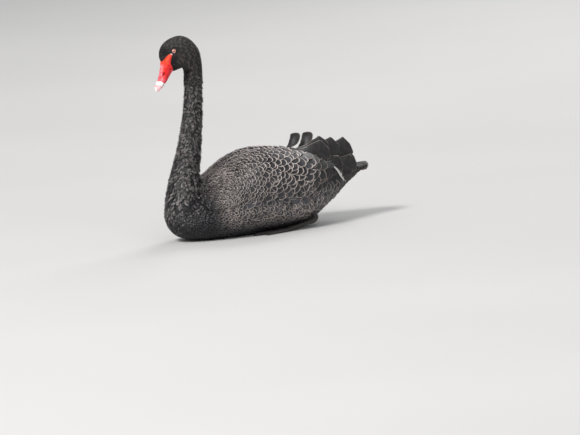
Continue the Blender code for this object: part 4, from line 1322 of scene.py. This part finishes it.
def web_grid(side, i):
    """The folded web between toe i and the next, as a thin sheet with a slack edge, closed underneath."""
    rows, columns = 46, 25
    (a, _), (b, _) = toe_line(side, i), toe_line(side, i + 1)
    at = np.linspace(0, 1, len(a))
    sheet = np.empty((rows, columns, 3))
    for j, share in enumerate(np.linspace(0, 1, columns)):
        hollow = 1 - 0.16 * math.sin(math.pi * share)
        reach = np.linspace(0, 0.93 * hollow, rows)
        first = np.stack([np.interp(reach, at, a[:, k]) for k in range(3)], -1)
        last = np.stack([np.interp(reach, at, b[:, k]) for k in range(3)], -1)
        sheet[:, j] = mix(first, last, share)
        fold = math.sin(math.pi * share) * (1.0 + 0.5 * math.sin(share * 5 * math.pi))
        sheet[:, j, 2] = 2.0 + 0.8 * fold * ease(0, 0.5, reach)
    under = sheet[:, ::-1].copy()
    under[..., 2] -= WEB_THICK
    return np.concatenate([sheet, under], 1)


def add_feet(skin, horn):
    for name, side in (("leg_left", 1), ("leg_right", -1)):
        ankle = np.array([side * (FOOT_X - 3), ANKLE_Y, ANKLE_Z], float)
        knuckle = np.array([side * FOOT_X, TOE_ROOT_Y - 2, TOE_RADIUS + 2.0], float)
        knee = ankle + (-side * 12, -6, 34)
        line = [knee, ankle + (-side * 5, 2, 15), ankle + (-side * 1, 2, 3), ankle + (0, -9, -3)]
        line += [mix(ankle, knuckle, k) + (0, 0, -1.5) for k in (0.3, 0.55, 0.8)] + [knuckle]
        shank = tube_rows(line, (7.6, 7.2, 7.6, 6.9, 5.8, 5.5, 5.9, 6.2), 40, 0.65)
        grids = [shank]
        claws = []
        for i in range(3):
            points, radii = toe_line(side, i)
            grids.append(tube_rows(points, radii, 32, 0.5))
            tip, ahead = points[-1], unit(points[-1] - points[-2])
            claw = [tip + ahead * k + (0, 0, -drop) for k, drop in CLAW_LINE]
            radii = [CLAW_RADIUS * k for k in (1, 0.95, 0.6)] + [0.25]
            claws.append(tube_rows(claw, radii, 20, 0.5, scutes=False))
        hind = [ankle + (side * x, y, z) for x, y, z in HIND_TOE]
        grids.append(tube_rows(hind, (2.6, 2.3, 1.6), 20, 0.5))
        grids += [web_grid(side, 0), web_grid(side, 1)]
        for group in (grids, claws):
            for grid in group:
                grid[..., 2] = np.maximum(grid[..., 2], FOOT_GAP)
        points, quads = join_grids(grids)
        add_piece(name + "_skin", points, quads, skin, (name,))
        points, quads = join_grids(claws)
        add_piece(name + "_claws", points, quads, horn)


def foot_skin():
    """Leathery scaled skin: charcoal with paler edges to its small plates, and a faint moist gloss."""
    made, tree, shader = new_material("scaled_leg_skin", Roughness=0.5, IOR=1.45)
    where = add_node(tree, "TexCoord")["Object"]
    plates = {"feature": "DISTANCE_TO_EDGE", "Scale": 1 / (1.8 * MM)}
    gap = add_node(tree, "TexVoronoi", plates, {"Vector": where})["Distance"]
    edge = add_node(tree, "MapRange", {**SOFT, "From Max": 0.16}, {"Value": gap})[0]
    cloud = add_node(tree, "TexNoise", {"Scale": 1 / (12 * MM), "Detail": 3.0}, {"Vector": where})[0]
    skin = add_node(tree, "Mix", {**BLEND, 6: "#141314", 7: "#3a3636"}, {0: cloud})[2]
    skin = add_node(tree, "Mix", {**BLEND, 6: "#4a4542"}, {0: edge, 7: skin})[2]
    bump = add_node(tree, "Bump", {"Strength": 1.0, "Distance": 0.25 * MM}, {"Height": edge})[0]
    join(tree, shader, {"Base Color": skin, "Normal": bump})
    return made


def claw_horn():
    """Claw horn: near black, smooth, with a fine grain."""
    made, tree, shader = new_material("black_claw_horn", Roughness=0.35, IOR=1.54)
    where = add_node(tree, "TexCoord")["Object"]
    lines = add_node(tree, "TexNoise", {"Scale": 1 / (0.8 * MM), "Detail": 2.0}, {"Vector": where})[0]
    horn = add_node(tree, "Mix", {**BLEND, 6: "#0d0c0c", 7: "#2b2725"}, {0: lines})[2]
    bump = add_node(tree, "Bump", {"Strength": 1.0, "Distance": 0.1 * MM}, {"Height": lines})[0]
    join(tree, shader, {"Base Color": horn, "Normal": bump})
    return made


# Floor and light

FLOOR_REACH = 20000
LAMP_AIM = 200  # the height that the lamps face
ROOM_LIGHT = 0.52
LAMPS = (  # name, place, size and watts
    ("key_light", (1500, -5200, 6200), 2200, 430), ("side_light", (6500, -1500, 4000), 4000, 70),
    ("rim_light", (-3000, 4500, 4500), 3000, 160),
)


def matt_floor():
    """A matt painted floor, very slightly uneven in tone."""
    made, tree, shader = new_material("matt_pale_floor", Roughness=0.9, IOR=1.45)
    where = add_node(tree, "TexCoord")["Object"]
    cloud = add_node(tree, "TexNoise", {"Scale": 1 / (900 * MM), "Detail": 1.0}, {"Vector": where})[0]
    paint = add_node(tree, "Mix", {**BLEND, 6: "#d3d1ce", 7: "#dbd9d6"}, {0: cloud})[2]
    join(tree, shader, {"Base Color": paint})
    return made


def add_stage():
    bpy.context.scene.view_settings.view_transform = "Standard"
    edge = np.linspace(-FLOOR_REACH, FLOOR_REACH, 3)
    points = [(x, y, 0) for y in edge for x in edge]
    add_piece("floor", points, grid_quads(3, 3), matt_floor(), stage=True)
    world = bpy.context.scene.world or bpy.data.worlds.new("studio")
    bpy.context.scene.world = world
    world.use_nodes = True
    shade = world.node_tree.nodes["Background"]
    shade.inputs["Color"].default_value = linear("#e4e7ec")
    shade.inputs["Strength"].default_value = ROOM_LIGHT
    for name, at, size, watts in LAMPS:
        data = bpy.data.lights.new(name, "AREA")
        data.size = size * MM
        data.energy = watts
        lamp = bpy.data.objects.new(name, data)
        bpy.context.scene.collection.objects.link(lamp)
        where = Vector(at) * MM
        turn = (where - Vector((0, 0, LAMP_AIM)) * MM).to_track_quat("Z", "Y")
        lamp.matrix_world = Matrix.Translation(where) @ turn.to_matrix().to_4x4()


def main():
    add_camera()
    add_stage()
    rng = np.random.default_rng(7)
    add_skin(bare_skin_under_feathers())
    add_head_coat(head_feathers(), rng)
    add_neck_coat(neck_feathers(), rng)
    mantle = mantle_feathers()
    add_body_coat(mantle, rng)
    add_mantle(mantle, rng)
    add_flank(mantle, rng)
    tertial = tertial_feathers()
    add_tertial_rows(tertial, rng)
    bill = bill_horn()
    bills = [shape_of(add_upper_bill(bill)), shape_of(add_lower_bill(bill))]
    head = shape_of(body.points[:HEAD_ROWS, :-1])
    add_lores(bill, head, bills)
    add_eyes(iris_and_pupil(), eyelid_skin(), head)
    add_plumes("plumes_left", tertial, LEFT_PLUMES, 1, rng)
    add_plumes("plumes_right", tertial, RIGHT_PLUMES, -1, rng)
    white = white_feathers()
    for word, side in (("left", 1), ("right", -1)):
        add_plumes("white_primaries_" + word, white, WHITE_PLUMES, side, rng)
    add_plumes("tail_feathers", tertial, tail_plumes(), 1, rng, rows=26, columns=13)
    add_feet(foot_skin(), claw_horn())


main()
